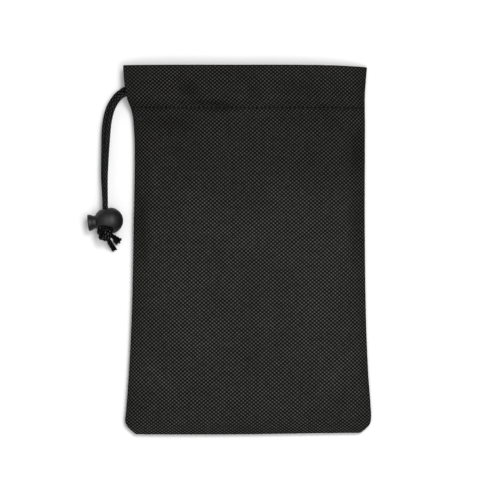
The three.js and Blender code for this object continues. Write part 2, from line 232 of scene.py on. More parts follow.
def cloth_material():
    """Black non-woven cloth: a staggered lattice of smooth bonded points in a matt felt of fine fibres."""
    shader = Shader("non_woven_cloth")
    flat = shader.add("ShaderNodeUVMap", {}, uv_map="cloth")
    wander = shader.add("ShaderNodeTexNoise", {"Vector": flat, "Scale": 260.0, "Detail": 1.0}, "Color")
    centred = shader.add("ShaderNodeVectorMath", {0: wander, 1: (0.5, 0.5, 0.5)}, operation="SUBTRACT")
    moved = shader.add("ShaderNodeVectorMath", {0: centred, 1: flat, "Scale": DOT_WANDER}, operation="SCALE")
    place = shader.add("ShaderNodeVectorMath", {0: flat, 1: moved})
    across = shader.add("ShaderNodeSeparateXYZ", {0: place}, "X")
    along = across.node.outputs["Y"]
    wave_across = shader.math("COSINE", shader.times(across, 2 * math.pi / DOT_ACROSS))
    wave_along = shader.math("COSINE", shader.times(along, 2 * math.pi / DOT_ALONG))
    lattice = shader.times(wave_across, wave_along)

    fibre_a = shader.streaks(flat, FELT_SCALE, 0.62, 3.0)
    fibre_b = shader.streaks(flat, FELT_SCALE, -0.74, 3.0)
    fibres = shader.math("MAXIMUM", fibre_a, fibre_b)
    patches = shader.noise(flat, 420.0, 2.0)
    clouds = shader.noise(flat, 45.0, 3.0)

    uneven = shader.math("ADD", lattice, shader.times(shader.math("SUBTRACT", fibres, 0.55), 0.9))
    uneven = shader.math("ADD", uneven, shader.times(shader.math("SUBTRACT", patches, 0.5), 0.5))
    point = shader.steps(uneven, 0.12, 0.95)
    level = shader.steps(uneven, -1.0, 1.1)
    colour = shader.ramp(level, *((at, grey(value * CLOTH_TONE, warm)) for at, value, warm in CLOTH_RAMP))
    cloud = shader.steps(clouds, 0.25, 0.75, 0.9, 1.1)
    # painted shade: the cloth is darkened towards the mouth, as light falls more on the lower half
    mouth_shade = shader.steps(along, MOUTH_SHADE_START, MOUTH_SHADE_END, 1.0, MOUTH_SHADE_TONE)
    # painted shade on the flanks that slope down to the side seams, darker on the right
    right_flank_shade = shader.steps(across, FLANK_SHADE_START, FLANK_SHADE_END, 1.0, RIGHT_FLANK_SHADE_TONE)
    leftwards = shader.times(across, -1.0)
    left_flank_shade = shader.steps(leftwards, FLANK_SHADE_START, FLANK_SHADE_END, 1.0, LEFT_FLANK_SHADE_TONE)
    # painted shade in creases and the stitch groove, and painted highlight on ridges, read from the mesh's
    # fold attribute
    fold = shader.add("ShaderNodeAttribute", {}, "Fac", attribute_name="fold")
    tint = shader.times(cloud, mouth_shade, right_flank_shade, left_flank_shade, fold)
    shade = shader.add("ShaderNodeVectorMath", {0: colour, "Scale": tint}, operation="SCALE")
    roughness = shader.steps(point, 0.0, 1.0, 0.86, 0.56)
    relief = shader.bump(lattice, 0.09 * MM, 0.8)
    fine = shader.bump(fibres, 0.05 * MM, 0.6, relief)
    return shader.finish(Base_Color=shade, Roughness=roughness, Specular_IOR_Level=0.05, Normal=fine)


FILAMENT_SCALE = (900, 7000, 1)
STRAND_TONE = 3.3  # on the strands' crests; the gaps between them are painted black as shade
SIDE_SHADE_TONE = 0.25  # painted shade down the cord's sides, against 1 along its upper side


def cord_material():
    """Black polyester braid: painted shade between its strands and down its sides, with fine filaments along
    it.
    """
    shader = Shader("braided_cord")
    place = shader.add("ShaderNodeUVMap", {}, uv_map="cord")
    along = shader.add("ShaderNodeSeparateXYZ", {0: place}, "X")
    round_cord = along.node.outputs["Y"]
    around = shader.times(round_cord, BRAID_STRANDS / (math.pi * CORD))
    turned = shader.times(along, 1 / BRAID_PITCH)
    edges = []
    for operation in ("ADD", "SUBTRACT"):
        strand = shader.times(shader.math(operation, around, turned), math.pi)
        edges.append(shader.math("ABSOLUTE", shader.math("SINE", strand)))
    strands = shader.steps(shader.times(*edges), 0.4, 0.95)
    filaments = shader.streaks(place, FILAMENT_SCALE, 0.5)
    crossed = shader.streaks(place, FILAMENT_SCALE, -0.5)
    fine = shader.math("MAXIMUM", filaments, crossed)
    dust = shader.noise(place, 330.0, 3.0)
    level = shader.math("ADD", shader.times(fine, 0.7), shader.times(dust, 0.3))
    colour = shader.ramp(level, (0.3, grey(0.004)), (0.55, grey(0.014)), (0.8, grey(0.05)))
    # painted shade: the cord is darker down its sides than along its upper side
    upwards = shader.math("COSINE", shader.times(round_cord, 2 / CORD))
    side_shade = shader.steps(upwards, 0.0, 0.8, SIDE_SHADE_TONE, 1.0)
    # painted shade: black in the gaps between the strands, darker down the cord's sides
    lit = shader.times(shader.steps(strands, 0.0, 1.0, 0.0, STRAND_TONE), side_shade)
    shade = shader.add("ShaderNodeVectorMath", {0: colour, "Scale": lit}, operation="SCALE")
    relief = shader.bump(strands, 0.12 * MM, 0.8)
    return shader.finish(Base_Color=shade, Roughness=shader.steps(fine, 0.3, 0.8, 0.72, 0.5),
                         Specular_IOR_Level=0.02, Normal=shader.bump(fine, 0.03 * MM, 0.5, relief))


def thread_material():
    shader = Shader("sewing_thread")
    place = shader.add("ShaderNodeUVMap", {}, uv_map="cord")
    twist = shader.streaks(place, (3000, 9000, 1), 0.6)
    colour = shader.ramp(twist, (0.3, grey(0.004)), (0.7, grey(0.02)))
    return shader.finish(Base_Color=colour, Roughness=shader.steps(twist, 0.3, 0.7, 0.62, 0.45),
                         Specular_IOR_Level=0.15, Normal=shader.bump(twist, 0.02 * MM, 0.5))


def plastic_material():
    """Moulded black plastic with a fine matt spark texture and faint flow marks."""
    shader = Shader("moulded_plastic")
    place = shader.add("ShaderNodeTexCoord", {}, "Object")
    grain = shader.noise(place, 5200.0, 2.0)
    flow = shader.streaks(place, (120, 420, 260), 0.3, 3.0)
    colour = shader.ramp(flow, (0.3, grey(0.005)), (0.7, grey(0.008)))
    marked = shader.steps(flow, 0.3, 0.7, -0.03, 0.03)
    rough = shader.math("ADD", shader.steps(grain, 0.3, 0.7, 0.42, 0.54), marked)
    return shader.finish(Base_Color=colour, Roughness=rough, Specular_IOR_Level=0.29,
                         Normal=shader.bump(grain, 0.02 * MM, 0.35))


def steel_material():
    shader = Shader("spring_wire")
    place = shader.add("ShaderNodeTexCoord", {}, "Object")
    drawn = shader.noise(place, 2500.0, 3.0)
    colour = shader.ramp(drawn, (0.3, grey(0.42)), (0.7, grey(0.6)))
    return shader.finish(Base_Color=colour, Metallic=1.0, Roughness=shader.steps(drawn, 0.3, 0.7, 0.2, 0.4),
                         Normal=shader.bump(drawn, 0.02 * MM, 0.3))


def floor_material():
    shader = Shader("white_paper")
    place = shader.add("ShaderNodeTexCoord", {}, "Object")
    mottle = shader.noise(place, 900.0, 2.0)
    colour = shader.ramp(mottle, (0.3, grey(FLOOR_WHITE)), (0.7, grey(FLOOR_WHITE * 1.015)))
    return shader.finish(Base_Color=colour, Roughness=0.9, Specular_IOR_Level=0.0)


def make_floor():
    half = FLOOR_SIZE / 2
    corners = [(-half, -half, 0), (half, -half, 0), (half, half, 0), (-half, half, 0)]
    floor = linked_mesh("floor", corners, [(0, 1, 2, 3)])
    floor.data.materials.append(floor_material())


# ---------------------------------------------------------------- mesh and curve helpers


def smooth(t):
    t = np.clip(t, 0, 1)
    return t * t * (3 - 2 * t)


def mix(low, high, t):
    return low + (high - low) * t


def bell(t):
    return np.exp(-t * t)


def mesh_piece(name, points, quads, material, body, flat=None, layer=None, girth=None):
    """A piece from points and faces, riding on a body, with flat coordinates in a named layer if given.

    girth is the flat width of a tube, whose last column of faces runs on to it instead of back to zero.
    """
    piece = linked_mesh(name, np.asarray(points).tolist(), [list(face) for face in quads])
    mesh = piece.data
    mesh.polygons.foreach_set("use_smooth", np.ones(len(mesh.polygons), bool))
    if flat is not None:
        corner = np.empty(len(mesh.loops), np.int32)
        mesh.loops.foreach_get("vertex_index", corner)
        spread = np.asarray(flat, np.float32)[corner]
        if girth is not None:
            sizes = np.array([len(face) for face in quads])
            first = np.r_[0, np.cumsum(sizes)[:-1]]
            widest = np.repeat(np.maximum.reduceat(spread[:, 1], first), sizes)
            spread[:, 1] += girth * (widest - spread[:, 1] > girth / 2)
        mesh.uv_layers.new(name=layer).data.foreach_set("uv", spread.ravel())
    mesh.materials.append(material)
    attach(piece, body)
    return piece


def grid_faces(rows, columns, offset=0, closed=False, flip=False):
    """Quads of a rows x columns grid of points. closed joins the last column to the first."""
    row = np.arange(rows - 1)[:, None]
    column = np.arange(columns if closed else columns - 1)[None, :]
    after = (column + 1) % columns
    corners = [row * columns + column, row * columns + after,
               (row + 1) * columns + after, (row + 1) * columns + column]
    quads = np.stack([c + offset for c in corners], -1).reshape(-1, 4)
    return quads[:, ::-1] if flip else quads


def tube_faces(rows, sides, offset=0):
    """Faces of a tube of rings of points, with both its ends closed."""
    first = [offset + k for k in range(sides)]
    last = [offset + (rows - 1) * sides + k for k in reversed(range(sides))]
    return grid_faces(rows, sides, offset, closed=True, flip=True).tolist() + [first, last]


def distances(line):
    """How far along a line each of its points lies."""
    return np.r_[0, np.cumsum(np.linalg.norm(np.diff(line, axis=0), axis=1))]


def evenly(line, count):
    """A number of evenly spaced points along a line."""
    along = distances(line)
    stations = np.linspace(0, along[-1], count)
    return np.stack([np.interp(stations, along, line[:, k]) for k in range(3)], 1)


def spaced(points, spacing):
    """Points at an even spacing along a smooth curve through the given points."""
    points = np.asarray(points, float)
    padded = np.vstack([2 * points[0] - points[1], points, 2 * points[-1] - points[-2]])
    dense = []
    for k in range(len(points) - 1):
        before, start, end, after = padded[k:k + 4]
        t = np.linspace(0, 1, 24, endpoint=False)[:, None]
        first = (end - before) / 2
        last = (after - start) / 2
        dense.append(start * (1 + 2 * t) * (1 - t) ** 2 + first * t * (1 - t) ** 2
                     + end * t * t * (3 - 2 * t) + last * t * t * (t - 1))
    line = np.vstack(dense + [points[-1:]])
    return evenly(line, max(2, int(round(distances(line)[-1] / spacing)) + 1))


def line_length(line):
    return float(np.linalg.norm(np.diff(line, axis=0), axis=1).sum())


def frames_along(line, up=(0, 0, 1)):
    """Two unit vectors across a line at each of its points, turning with it as little as possible."""
    ahead = np.gradient(line, axis=0)
    ahead /= np.linalg.norm(ahead, axis=1)[:, None]
    side = np.array(up, float)
    first = []
    for direction in ahead:
        side = side - (side @ direction) * direction
        side = side / np.linalg.norm(side)
        first.append(side)
    first = np.array(first)
    return first, np.cross(ahead, first)


def rings_along(line, sides, up=(0, 0, 1)):
    """Angles round a line, and at each of its points the unit vectors at those angles."""
    first, second = frames_along(line, up)
    angle = 2 * np.pi * np.arange(sides) / sides
    cosine, sine = np.cos(angle)[None, :, None], np.sin(angle)[None, :, None]
    return angle, first[:, None] * cosine + second[:, None] * sine


class Tubes:
    """Closed tubes that become one piece, with flat coordinates along and round each of them."""

    def __init__(self):
        self.points = []
        self.quads = []
        self.flat = []

    def add(self, line, along, angle, ring, radius, flat_radius):
        offset = sum(len(p) for p in self.points)
        self.points.append((line[:, None] + radius[..., None] * ring).reshape(-1, 3))
        flat = np.broadcast_arrays(along[:, None], angle[None] * flat_radius)
        self.flat.append(np.stack(flat, -1).reshape(-1, 2))
        self.quads += tube_faces(len(line), len(angle), offset)

    def piece(self, name, material, slot, move=np.asarray):
        """The piece, riding on the pouch, with its points moved by a function."""
        points = move(np.vstack(self.points))
        return mesh_piece(name, points, self.quads, material, "pouch", np.vstack(self.flat), "cord")


# ---------------------------------------------------------------- drawstring

CORD = 2.3 * MM
KNOT_CORD = 1.95 * MM  # the braid is squeezed thinner inside the tight knot
BRAID_STRANDS = 5  # in each direction round the cord
BRAID_PITCH = 2.3 * MM  # along the cord, from one crossing of two strands to the next in line with it
BRAID_DEPTH = 0.26
BRAID_SWELL = 1.1  # the strands' crests stand out of the cord's nominal round

# The drawstring's two free legs, from the channel's open end to the knot, and its two ends below the knot.
UPPER_LEG = [(-0.0583, 0.0764, 0.007), (-0.0604, 0.0754, 0.00685), (-0.0622, 0.07415, 0.0066),
             (-0.0638, 0.0725, 0.0064), (-0.0651, 0.0704, 0.00625), (-0.0662, 0.068, 0.0062),
             (-0.067, 0.0652, 0.0062), (-0.06765, 0.0618, 0.0063), (-0.0681, 0.0578, 0.0065),
             (-0.06845, 0.053, 0.00685), (-0.06875, 0.0486, 0.00715), (-0.069, 0.0444, 0.0074),
             (-0.0692, 0.0404, 0.0075), (-0.0694, 0.036, 0.00755), (-0.06945, 0.0305, 0.0076),
             (-0.0694, 0.024, 0.0076), (-0.06935, 0.016, 0.0076), (-0.06935, 0.0118, 0.0077)]
LOWER_LEG = [(-0.0583, 0.0792, 0.0019), (-0.0606, 0.0782, 0.002), (-0.0627, 0.0768, 0.00225),
             (-0.0645, 0.0752, 0.0025), (-0.0661, 0.073, 0.00275), (-0.0675, 0.0706, 0.003),
             (-0.0686, 0.0678, 0.0033), (-0.0694, 0.0646, 0.0036), (-0.07, 0.061, 0.0039),
             (-0.07035, 0.057, 0.00415), (-0.0704, 0.0526, 0.00455), (-0.07045, 0.0484, 0.00495),
             (-0.0705, 0.0442, 0.0053), (-0.07055, 0.04, 0.00545), (-0.07055, 0.035, 0.00545),
             (-0.07025, 0.0295, 0.00535), (-0.06995, 0.0245, 0.0052), (-0.06985, 0.02, 0.0052),
             (-0.06985, 0.016, 0.0052), (-0.0698, 0.011, 0.0052), (-0.0697, 0.009, 0.0053)]
SHORT_END = [(-0.0658, 0.0062, 0.0078), (-0.0651, 0.00565, 0.0068), (-0.0644, 0.0051, 0.0057),
             (-0.0638, 0.0045, 0.0046), (-0.0633, 0.0039, 0.0037)]
LONG_END = [(-0.0679, 0.0041, 0.0073), (-0.06735, 0.00305, 0.0059), (-0.0667, 0.00195, 0.0044),
            (-0.06605, 0.00085, 0.0029), (-0.06535, -0.0003, 0.0015)]

LONG_END_SHAPE = (0.08, 0.6 * MM)  # how much the cut end widens, and how far its two points reach out
SHORT_END_SHAPE = (0.42, 0.2 * MM)
FRAY_CLUMPS = [((0.6, 0.8, 0.2), (0.85, 0.05, -0.3), 1.6), ((0.1, -0.2, 0), (0.6, -0.8, -0.35), 1.6),
               ((-1.0, -0.9, -0.2), (-0.3, -0.95, -0.3), 1.5),
               ((-1.9, 0.0, -0.3), (0.1, -0.95, -0.3), 1.7)]  # offset (mm), direction and length (mm)
FRAY_FIBRES = 320
FRAY_SPREAD = 0.2
FRAY_SEED = 7
FRAY_R = 0.085 * MM

KNOT_LOOSE = 2.6 * MM  # size of the loose knot that is pulled tight
KNOT_RADII = np.array([3.3, 3.1, 2.7]) * MM  # of the space that the tight knot's centrelines keep to
KNOT_STRAND = 26.5 * MM  # length of each strand in the tight knot
KNOT_STATIONS = 84
KNOT_ROUNDS = 1500
KNOT_TIGHT_AT = 0.75  # the share of the rounds after which the strands have their final length
KNOT_PINNED = 2  # points held still at each end of a strand
KNOT_HELD = 4  # points at each end that aren't drawn inwards
KNOT_PULL = 0.45
KNOT_STIFFNESS = 0.12
KNOT_PUSH = 0.3
KNOT_DRAW = 0.15
CORD_STEP = 0.13 * MM  # between the rings of a braided strand
CORD_SMOOTHING = 12


def loose_knot(centre, ahead, up):
    """An overhand knot as a loose open curve, with its ends along ahead and its loop towards up."""
    t = np.linspace(-2.02, 2.02, KNOT_STATIONS - 20)
    curve = np.stack([t ** 3 - 3 * t, t ** 4 - 4 * t ** 2 + 2, (t ** 5 - 10 * t) / 5], 1)
    pull = np.array([0.506, 0, 0.863])
    loop = np.array([0, -1, 0])
    third = np.cross(pull, loop)
    side = np.cross(ahead, up)
    placed = sum(np.outer(curve @ own, way) for own, way in ((pull, ahead), (loop, up), (third, side)))
    return centre + placed * KNOT_LOOSE


def tight_knot(entries, exits, centre):
    """Two strands in one overhand knot: a loose knot is shortened until its strands lie on each other.

    Strands are chains of points that keep their spacing, push each other a cord apart and bend stiffly.
    """
    ahead = np.mean([leg[0] for leg in exits], 0) - np.mean([leg[-1] for leg in entries], 0)
    ahead /= np.linalg.norm(ahead)
    up = np.array([-0.4, -0.4, 0.83])
    up = up - (up @ ahead) * ahead
    up /= np.linalg.norm(up)
    core = loose_knot(centre, ahead, up)
    across, _ = frames_along(core)
    strands = []
    for side, entry, leaving in zip((1, -1), entries, exits):
        line = np.vstack([entry[-2:], core + side * across * KNOT_CORD / 2, leaving[:2]])
        strands.append(evenly(line, KNOT_STATIONS))
    place = np.array(strands)
    pinned = place.copy()
    loose_step = np.linalg.norm(np.diff(place, axis=1), axis=2).mean()
    tight_step = KNOT_STRAND / (KNOT_STATIONS - 1)
    number = np.arange(2 * KNOT_STATIONS)
    apart = np.abs(number[:, None] - number[None]) * tight_step
    same = number[:, None] // KNOT_STATIONS == number[None] // KNOT_STATIONS
    neighbours = same & (apart < 1.45 * KNOT_CORD)
    place_in_strand = number % KNOT_STATIONS
    held = (place_in_strand < KNOT_HELD) | (place_in_strand >= KNOT_STATIONS - KNOT_HELD)
    for turn in range(KNOT_ROUNDS):
        step = mix(loose_step, tight_step, min(1, turn / (KNOT_TIGHT_AT * KNOT_ROUNDS)))
        for _ in range(2):
            link = np.diff(place, axis=1)
            length = np.linalg.norm(link, axis=2, keepdims=True)
            pull = KNOT_PULL * link * (length - step) / length
            place[:, :-1] += pull
            place[:, 1:] -= pull
            place[:, 1:-1] += KNOT_STIFFNESS * ((place[:, 2:] + place[:, :-2]) / 2 - place[:, 1:-1])
        loose = place.reshape(-1, 3)
        gap = loose[:, None] - loose[None]
        distance = np.sqrt((gap ** 2).sum(2)) + 1e-12
        overlap = np.clip(KNOT_CORD - distance, 0, None)
        overlap[neighbours] = 0
        touching = np.maximum(1, (overlap > 0).sum(1))[:, None]
        apart_by = (gap / distance[..., None] * overlap[..., None]).sum(1)
        loose = loose + KNOT_PUSH * apart_by / np.sqrt(touching)
        out = np.linalg.norm((loose - centre) / KNOT_RADII, axis=1)
        inward = np.where(held, 0, KNOT_DRAW * np.clip(out - 1, 0, None) / np.maximum(out, 1e-9))
        loose = loose - inward[:, None] * (loose - centre)
        place = loose.reshape(2, KNOT_STATIONS, 3)
        place[:, :KNOT_PINNED] = pinned[:, :KNOT_PINNED]
        place[:, -KNOT_PINNED:] = pinned[:, -KNOT_PINNED:]
    return place


def braid_height(around, along):
    """Relief of a plain braid, from 0 in the gaps to 1 on the strands; around and along count strands."""
    one = around + along
    other = around - along
    on_top = (np.floor(one) + np.floor(other)) % 2 == 0
    across = np.where(on_top, one % 1, other % 1)
    lengthwise = np.where(on_top, other % 1, one % 1)
    return np.sqrt(np.sin(np.pi * across)) * (0.45 + 0.55 * np.sin(np.pi * lengthwise))


def braided_tube(name, line, radii, material, sides=48, far_end=None):
    """A braided cord along a line of evenly spaced points, with a radius at each and closed cut ends.

    far_end gives how much the far end widens sideways, and how far its two points reach out past a notch.
    """
    rows = len(line)
    along = distances(line)
    angle, ring = rings_along(line, sides)
    height = braid_height(angle[None] / (2 * np.pi) * BRAID_STRANDS, along[:, None] / BRAID_PITCH)
    radius = radii[:, None] * (BRAID_SWELL - BRAID_DEPTH * (1 - height))
    points = line[:, None] + radius[..., None] * ring
    if far_end is not None:
        widening, reach = far_end
        share = smooth((along - along[-1] + 4 * MM) / (4 * MM))[:, None]
        level = ring[-1, :, 2] / np.abs(ring[-1, :, 2]).max()
        sideways = (1 - 2 * level ** 2)[None]
        ahead = (line[-1] - line[-2]) / np.linalg.norm(line[-1] - line[-2])
        points += (widening * share * sideways * radius)[..., None] * ring
        points += (reach * share ** 3 * sideways)[..., None] * ahead
    points = points.reshape(-1, 3)
    flat = np.stack(np.broadcast_arrays(along[:, None], angle[None] * CORD / 2), -1).reshape(-1, 2)
    quads = grid_faces(rows, sides, closed=True, flip=True).tolist()
    hollow = radii[0] * 0.35
    for end, inward in ((0, line[1] - line[0]), (rows - 1, line[-2] - line[-1])):
        centre = len(points)
        points = np.vstack([points, line[end] + hollow * inward / np.linalg.norm(inward)])
        flat = np.vstack([flat, (along[end], 0)])
        for k in range(sides):
            edge = (end * sides + k, end * sides + (k + 1) % sides)
            quads.append((centre, *(edge if end == 0 else edge[::-1])))
    return mesh_piece(name, points, quads, material, "pouch", flat, "cord", math.pi * CORD)


def fibre_tuft(name, tip, material):
    """Loose filaments of a frayed cord end, as thin tapering tubes in a few clumps about its tip."""
    random = np.random.default_rng(FRAY_SEED)
    tubes = Tubes()
    t = np.linspace(0, 1, 8)[:, None]
    for number in range(FRAY_FIBRES):
        offset, direction, length = FRAY_CLUMPS[number % len(FRAY_CLUMPS)]
        root = tip + np.array(offset) * MM
        direction = np.asarray(direction, float) / np.linalg.norm(direction)
        one, other = (v[0] for v in frames_along(np.array([root, root + direction])))
        turn = random.uniform(0, 2 * np.pi)
        out = np.cos(turn) * one + np.sin(turn) * other
        start = root + out * CORD * 0.22 * math.sqrt(random.uniform(0, 1)) - direction * 0.8 * MM
        reach = length * MM * random.uniform(0.6, 1.2)
        lean = FRAY_SPREAD * random.uniform(0.1, 1)
        curl = random.normal(0, 0.12, 3) * reach
        line = start + direction * reach * t + out * lean * reach * t ** 2 + curl * np.sin(np.pi * t) * t
        line[:, 2] = np.maximum(line[:, 2], 0.12 * MM)
        tubes.add(line, t[:, 0] * reach, *rings_along(line, 5), FRAY_R * (1 - 0.45 * t), 0.1 * MM)
    return tubes.piece(name, material, "cord")


def knotted_strand(leg, tied, end):
    """One strand's centreline from the channel, through the knot, to its cut end, with its radii."""
    leg_line = spaced(leg[:-1], CORD_STEP)
    loose = spaced(np.vstack([leg[-2:-1], tied[KNOT_PINNED:-KNOT_PINNED:3], end[1:2]]), CORD_STEP)
    tail = spaced(end[1:], CORD_STEP)
    line = np.vstack([leg_line, loose[1:-1], tail])
    for _ in range(CORD_SMOOTHING):
        line[1:-1] += 0.25 * (line[2:] + line[:-2] - 2 * line[1:-1])
    line = spaced(line[::2], CORD_STEP)
    along = distances(line)
    knot_start = line_length(leg_line) - 0.5 * MM
    knot_end = along[-1] - line_length(tail) + 0.5 * MM
    squeezed = smooth((along - knot_start) / (4 * MM)) * smooth((knot_end - along) / (3 * MM))
    return line, mix(CORD, KNOT_CORD * 1.06, squeezed) / 2


def make_cords(material):
    """The drawstring's two free strands, with their knot and cut ends."""
    low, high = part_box("drawstring_knot")
    centre = np.array((low + high) / 2) + (-0.2 * MM, 0.0, 0.2 * MM)
    entries = [np.array(UPPER_LEG), np.array(LOWER_LEG)]
    exits = [np.array(SHORT_END), np.array(LONG_END)]
    tied = tight_knot(entries, exits, centre)

    upper, upper_radii = knotted_strand(entries[0], tied[0], exits[0])
    strand = braided_tube("drawstring_upper_strand", upper, upper_radii, material, far_end=SHORT_END_SHAPE)
    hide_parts("drawstring_upper_leg", "drawstring_knot", "drawstring_short_end")
    fray = fibre_tuft("drawstring_frayed_end", exits[0][-1], material)

    lower, lower_radii = knotted_strand(entries[1], tied[1], exits[1])
    other = braided_tube("drawstring_lower_strand", lower, lower_radii, material, far_end=LONG_END_SHAPE)
    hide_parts("drawstring_lower_leg", "drawstring_long_end")
    return {"upper": (strand, upper, fray), "lower": (other, lower)}


def declare_cords(cords):
    strand, line, fray = cords["upper"]
    line_length(line)
    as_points(line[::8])
    strand, line = cords["lower"]
    line_length(line)
    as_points(line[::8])


# ---------------------------------------------------------------- the pouch's shape

FABRIC = 0.45 * MM
GAP = 0.3 * MM
BOTTOM_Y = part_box("front_panel")[0].y
MOUTH_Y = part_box("front_panel")[1].y
LEFT_EDGE = [(-90, -54.1), (-89.3, -55.4), (-86, -59.0), (-83.3, -60.0), (-78, -59.5), (-58.9, -58.1),
             (-29.7, -56.7), (6.9, -55.9), (48.3, -55.3), (63, -56.0), (68.8, -57.1), (73.2, -58.7),
             (78.5, -59.8), (84, -60.5), (90, -60.9)]  # (y, x) in mm
RIGHT_EDGE = [(-90, 54.4), (-89.2, 56.0), (-86, 59.5), (-82.6, 60.4), (-77, 60.2), (-58.9, 58.9),
              (-29.7, 57.8), (14.2, 57.3), (60.5, 57.4), (74.7, 57.3), (80.5, 57.6), (90, 58.4)]
STITCH_Y = 68.9 * MM
HEM_END = 67.9 * MM
SEAM_Z = 3.0 * MM
BODY_HEIGHT = 11.25 * MM
PUFF_HEIGHT = 0.9 * MM
FLAT_SHARE = 0.78  # of the back's width, which lies on the surface
OPEN_END_Z = 7.3 * MM
CHANNEL_GAP = CORD + 2 * GAP
CHANNEL_Y = 77 * MM
TURN_X = 51.5 * MM
FACING_RIGHT = 50.6 * MM  # where the two facings meet inside the cord's turn
ALLOWANCE = 7 * MM  # seam allowance, turned inside
ROLL = 0.45 * MM  # radius of the cloth's turn at a seam


def curve_through(pairs):
    """A smooth function through (position, value) pairs in mm, as metres to metres."""
    at = np.array([p[0] for p in pairs]) * MM
    value = np.array([p[1] for p in pairs]) * MM
    last = len(at) - 1
    before, after = np.maximum(np.arange(last + 1) - 1, 0), np.minimum(np.arange(last + 1) + 1, last)
    slope = (value[after] - value[before]) / (at[after] - at[before])

    def height(position):
        k = np.clip(np.searchsorted(at, position, side="right") - 1, 0, last - 1)
        step = at[k + 1] - at[k]
        t = np.clip((position - at[k]) / step, 0, 1)
        return (value[k] * (1 + 2 * t) * (1 - t) ** 2 + slope[k] * step * t * (1 - t) ** 2
                + value[k + 1] * t * t * (3 - 2 * t) + slope[k + 1] * step * t * t * (t - 1))

    return height


left_edge = curve_through(LEFT_EDGE)
right_edge = curve_through(RIGHT_EDGE)


def plan_x(u, y):
    """Where a column of cloth lies in a row; u runs from -1 at the left seam to 1 at the right one."""
    inset = FABRIC / 2
    return mix(left_edge(y) + inset, right_edge(y) - inset, (u + 1) / 2)


def across_at(x, y):
    """The u of a place on the pouch."""
    return 2 * (x - left_edge(y)) / (right_edge(y) - left_edge(y)) - 1


def crown(u):
    """The front's rise across the pouch, from 0 at its seams to 1."""
    return (1 - np.abs(np.clip(u, -1, 1)) ** 5) ** 0.75


def bottom_rise(y):
    """The front's rise from the bottom seam, from 0 to 1."""
    rise = np.clip((y - BOTTOM_Y) / (26 * MM), 0, 1)
    return (1 - (1 - rise) ** 3) ** 0.8


def open_end(u, y):
    """0 over the sewn pouch and 1 at the channel's open end, on the left."""
    return np.where(u < 0, smooth((y - 65 * MM) / (9 * MM)), 0)


def from_seams(x, y):
    """The distance to the nearer side seam."""
    return np.minimum(x - left_edge(y), right_edge(y) - x)


def calm_share(u):
    """1 over the cloth and 0 at its side seams, which relief doesn't move."""
    return 1 - np.abs(np.clip(u, -1, 1)) ** 10


def channel_share(y):
    """0 where panel and facing lie together, at the stitches and the mouth, and 1 round the cord."""
    low = smooth((y - STITCH_Y - 0.5 * MM) / (4.6 * MM))
    high = smooth((MOUTH_Y - 0.8 * MM - y) / (7 * MM))
    return np.where(y < CHANNEL_Y, low, high)


def channel_opening(y):
    return mix(GAP, CHANNEL_GAP, channel_share(y))


# Creases and folds of the front panel, in mm: start, end, half width and depth; a negative depth stands up.
CREASES = [
    ((-33, 81.5), (-26, 73), 4.6, 2.0), ((-27, 71.3), (-11, 70), 1.5, 1.1),
    ((-36, 76.5), (-20, 69.6), 2.6, -0.5), ((2, 80), (4.5, 73), 3.0, 1.2),
    ((15, 80), (31, 77.5), 4.6, 1.1), ((44, 80), (48, 72), 3.4, 0.9),
    ((-54, 68.2), (-40, 68.4), 1.5, 0.7), ((-25, 68.0), (-7, 68.4), 1.5, 0.7),
    ((-46, 62.8), (-30, 60.8), 3.6, 1.3), ((-53.5, 63.0), (-49, 62.2), 1.1, 0.9),
    ((-12, 61), (-7, 57), 2.6, 0.7), ((-38, 48.8), (-32.5, 46.2), 2.0, 0.8),
    ((-46.5, 42), (-45.5, 29), 1.9, -0.6), ((-52.8, 26), (-51.8, -4), 2.6, 1.6),
    ((53.2, 55), (53.4, 36), 3.6, 1.7), ((53.2, 26), (53.6, -6), 3.6, 1.6),
    ((0, -10), (1, -30), 5.0, 0.5), ((0.5, -40), (1, -72), 4.5, 0.6),
    ((-15, -2), (-15.5, -28), 4.0, 0.4), ((-51, -54), (-36, -70), 1.6, -0.6),
    ((55, -46), (33, -72), 1.6, -0.6), ((-50, -70), (-42, -80), 4.0, 0.5),
    ((52, -62), (44, -80), 4.0, 0.8), ((16, 66), (30, 61), 3.0, 0.5), ((36, 67.5), (46, 60), 2.6, 0.6),
]


def crease_relief(x, y):
    height = np.zeros(np.broadcast(x, y).shape)
    for (x0, y0), (x1, y1), width, depth in CREASES:
        start = np.array([x0, y0]) * MM
        way = np.array([x1 - x0, y1 - y0]) * MM
        share = ((x - start[0]) * way[0] + (y - start[1]) * way[1]) / (way @ way)
        t = np.clip(share, 0, 1)
        off = np.hypot(x - start[0] - t * way[0], y - start[1] - t * way[1])
        fade = mix(0.55, 1, np.sin(np.pi * t))
        height -= depth * MM * fade * bell(off / (width * MM))
    return height


def painted_crease_shade(grid):
    """How light the cloth is painted: painted shade in creases and along the stitch groove, painted highlight
    on ridges.
    """
    x, y = grid[..., 0], grid[..., 1]
    relief = crease_relief(x, y) / MM
    stitched = bell((y - STITCH_Y) / (0.5 * MM))
    return np.clip((1 + 0.22 * relief) * (1 - 0.5 * stitched), 0.3, 1.15).astype(np.float32)


# Slow swells of the cloth: waves per metre across and along, phase and height in mm.
SWELLS = [(17, 9, 0.4, 0.24), (-11, 23, 1.9, 0.22), (29, -18, 3.1, 0.13), (41, 33, 5.2, 0.08),
          (-52, 27, 0.9, 0.07), (13, 57, 2.6, 0.07), (73, -44, 4.4, 0.035), (-36, -81, 1.2, 0.035)]


def swell(x, y):
    """The cloth's slow swells at a place."""
    return sum(h * MM * np.sin(2 * np.pi * (a * x + b * y) + phase) for a, b, phase, h in SWELLS)


def puckers(position, phase):
    """Uneven small gathers along a seam, from about -1 to 1."""
    return (0.55 * np.sin(2 * np.pi * position / (7.3 * MM) + phase)
            + 0.3 * np.sin(2 * np.pi * position / (4.1 * MM) + 2.3 * phase + 1)
            + 0.25 * np.sin(2 * np.pi * position / (11.7 * MM) + 0.7 * phase))


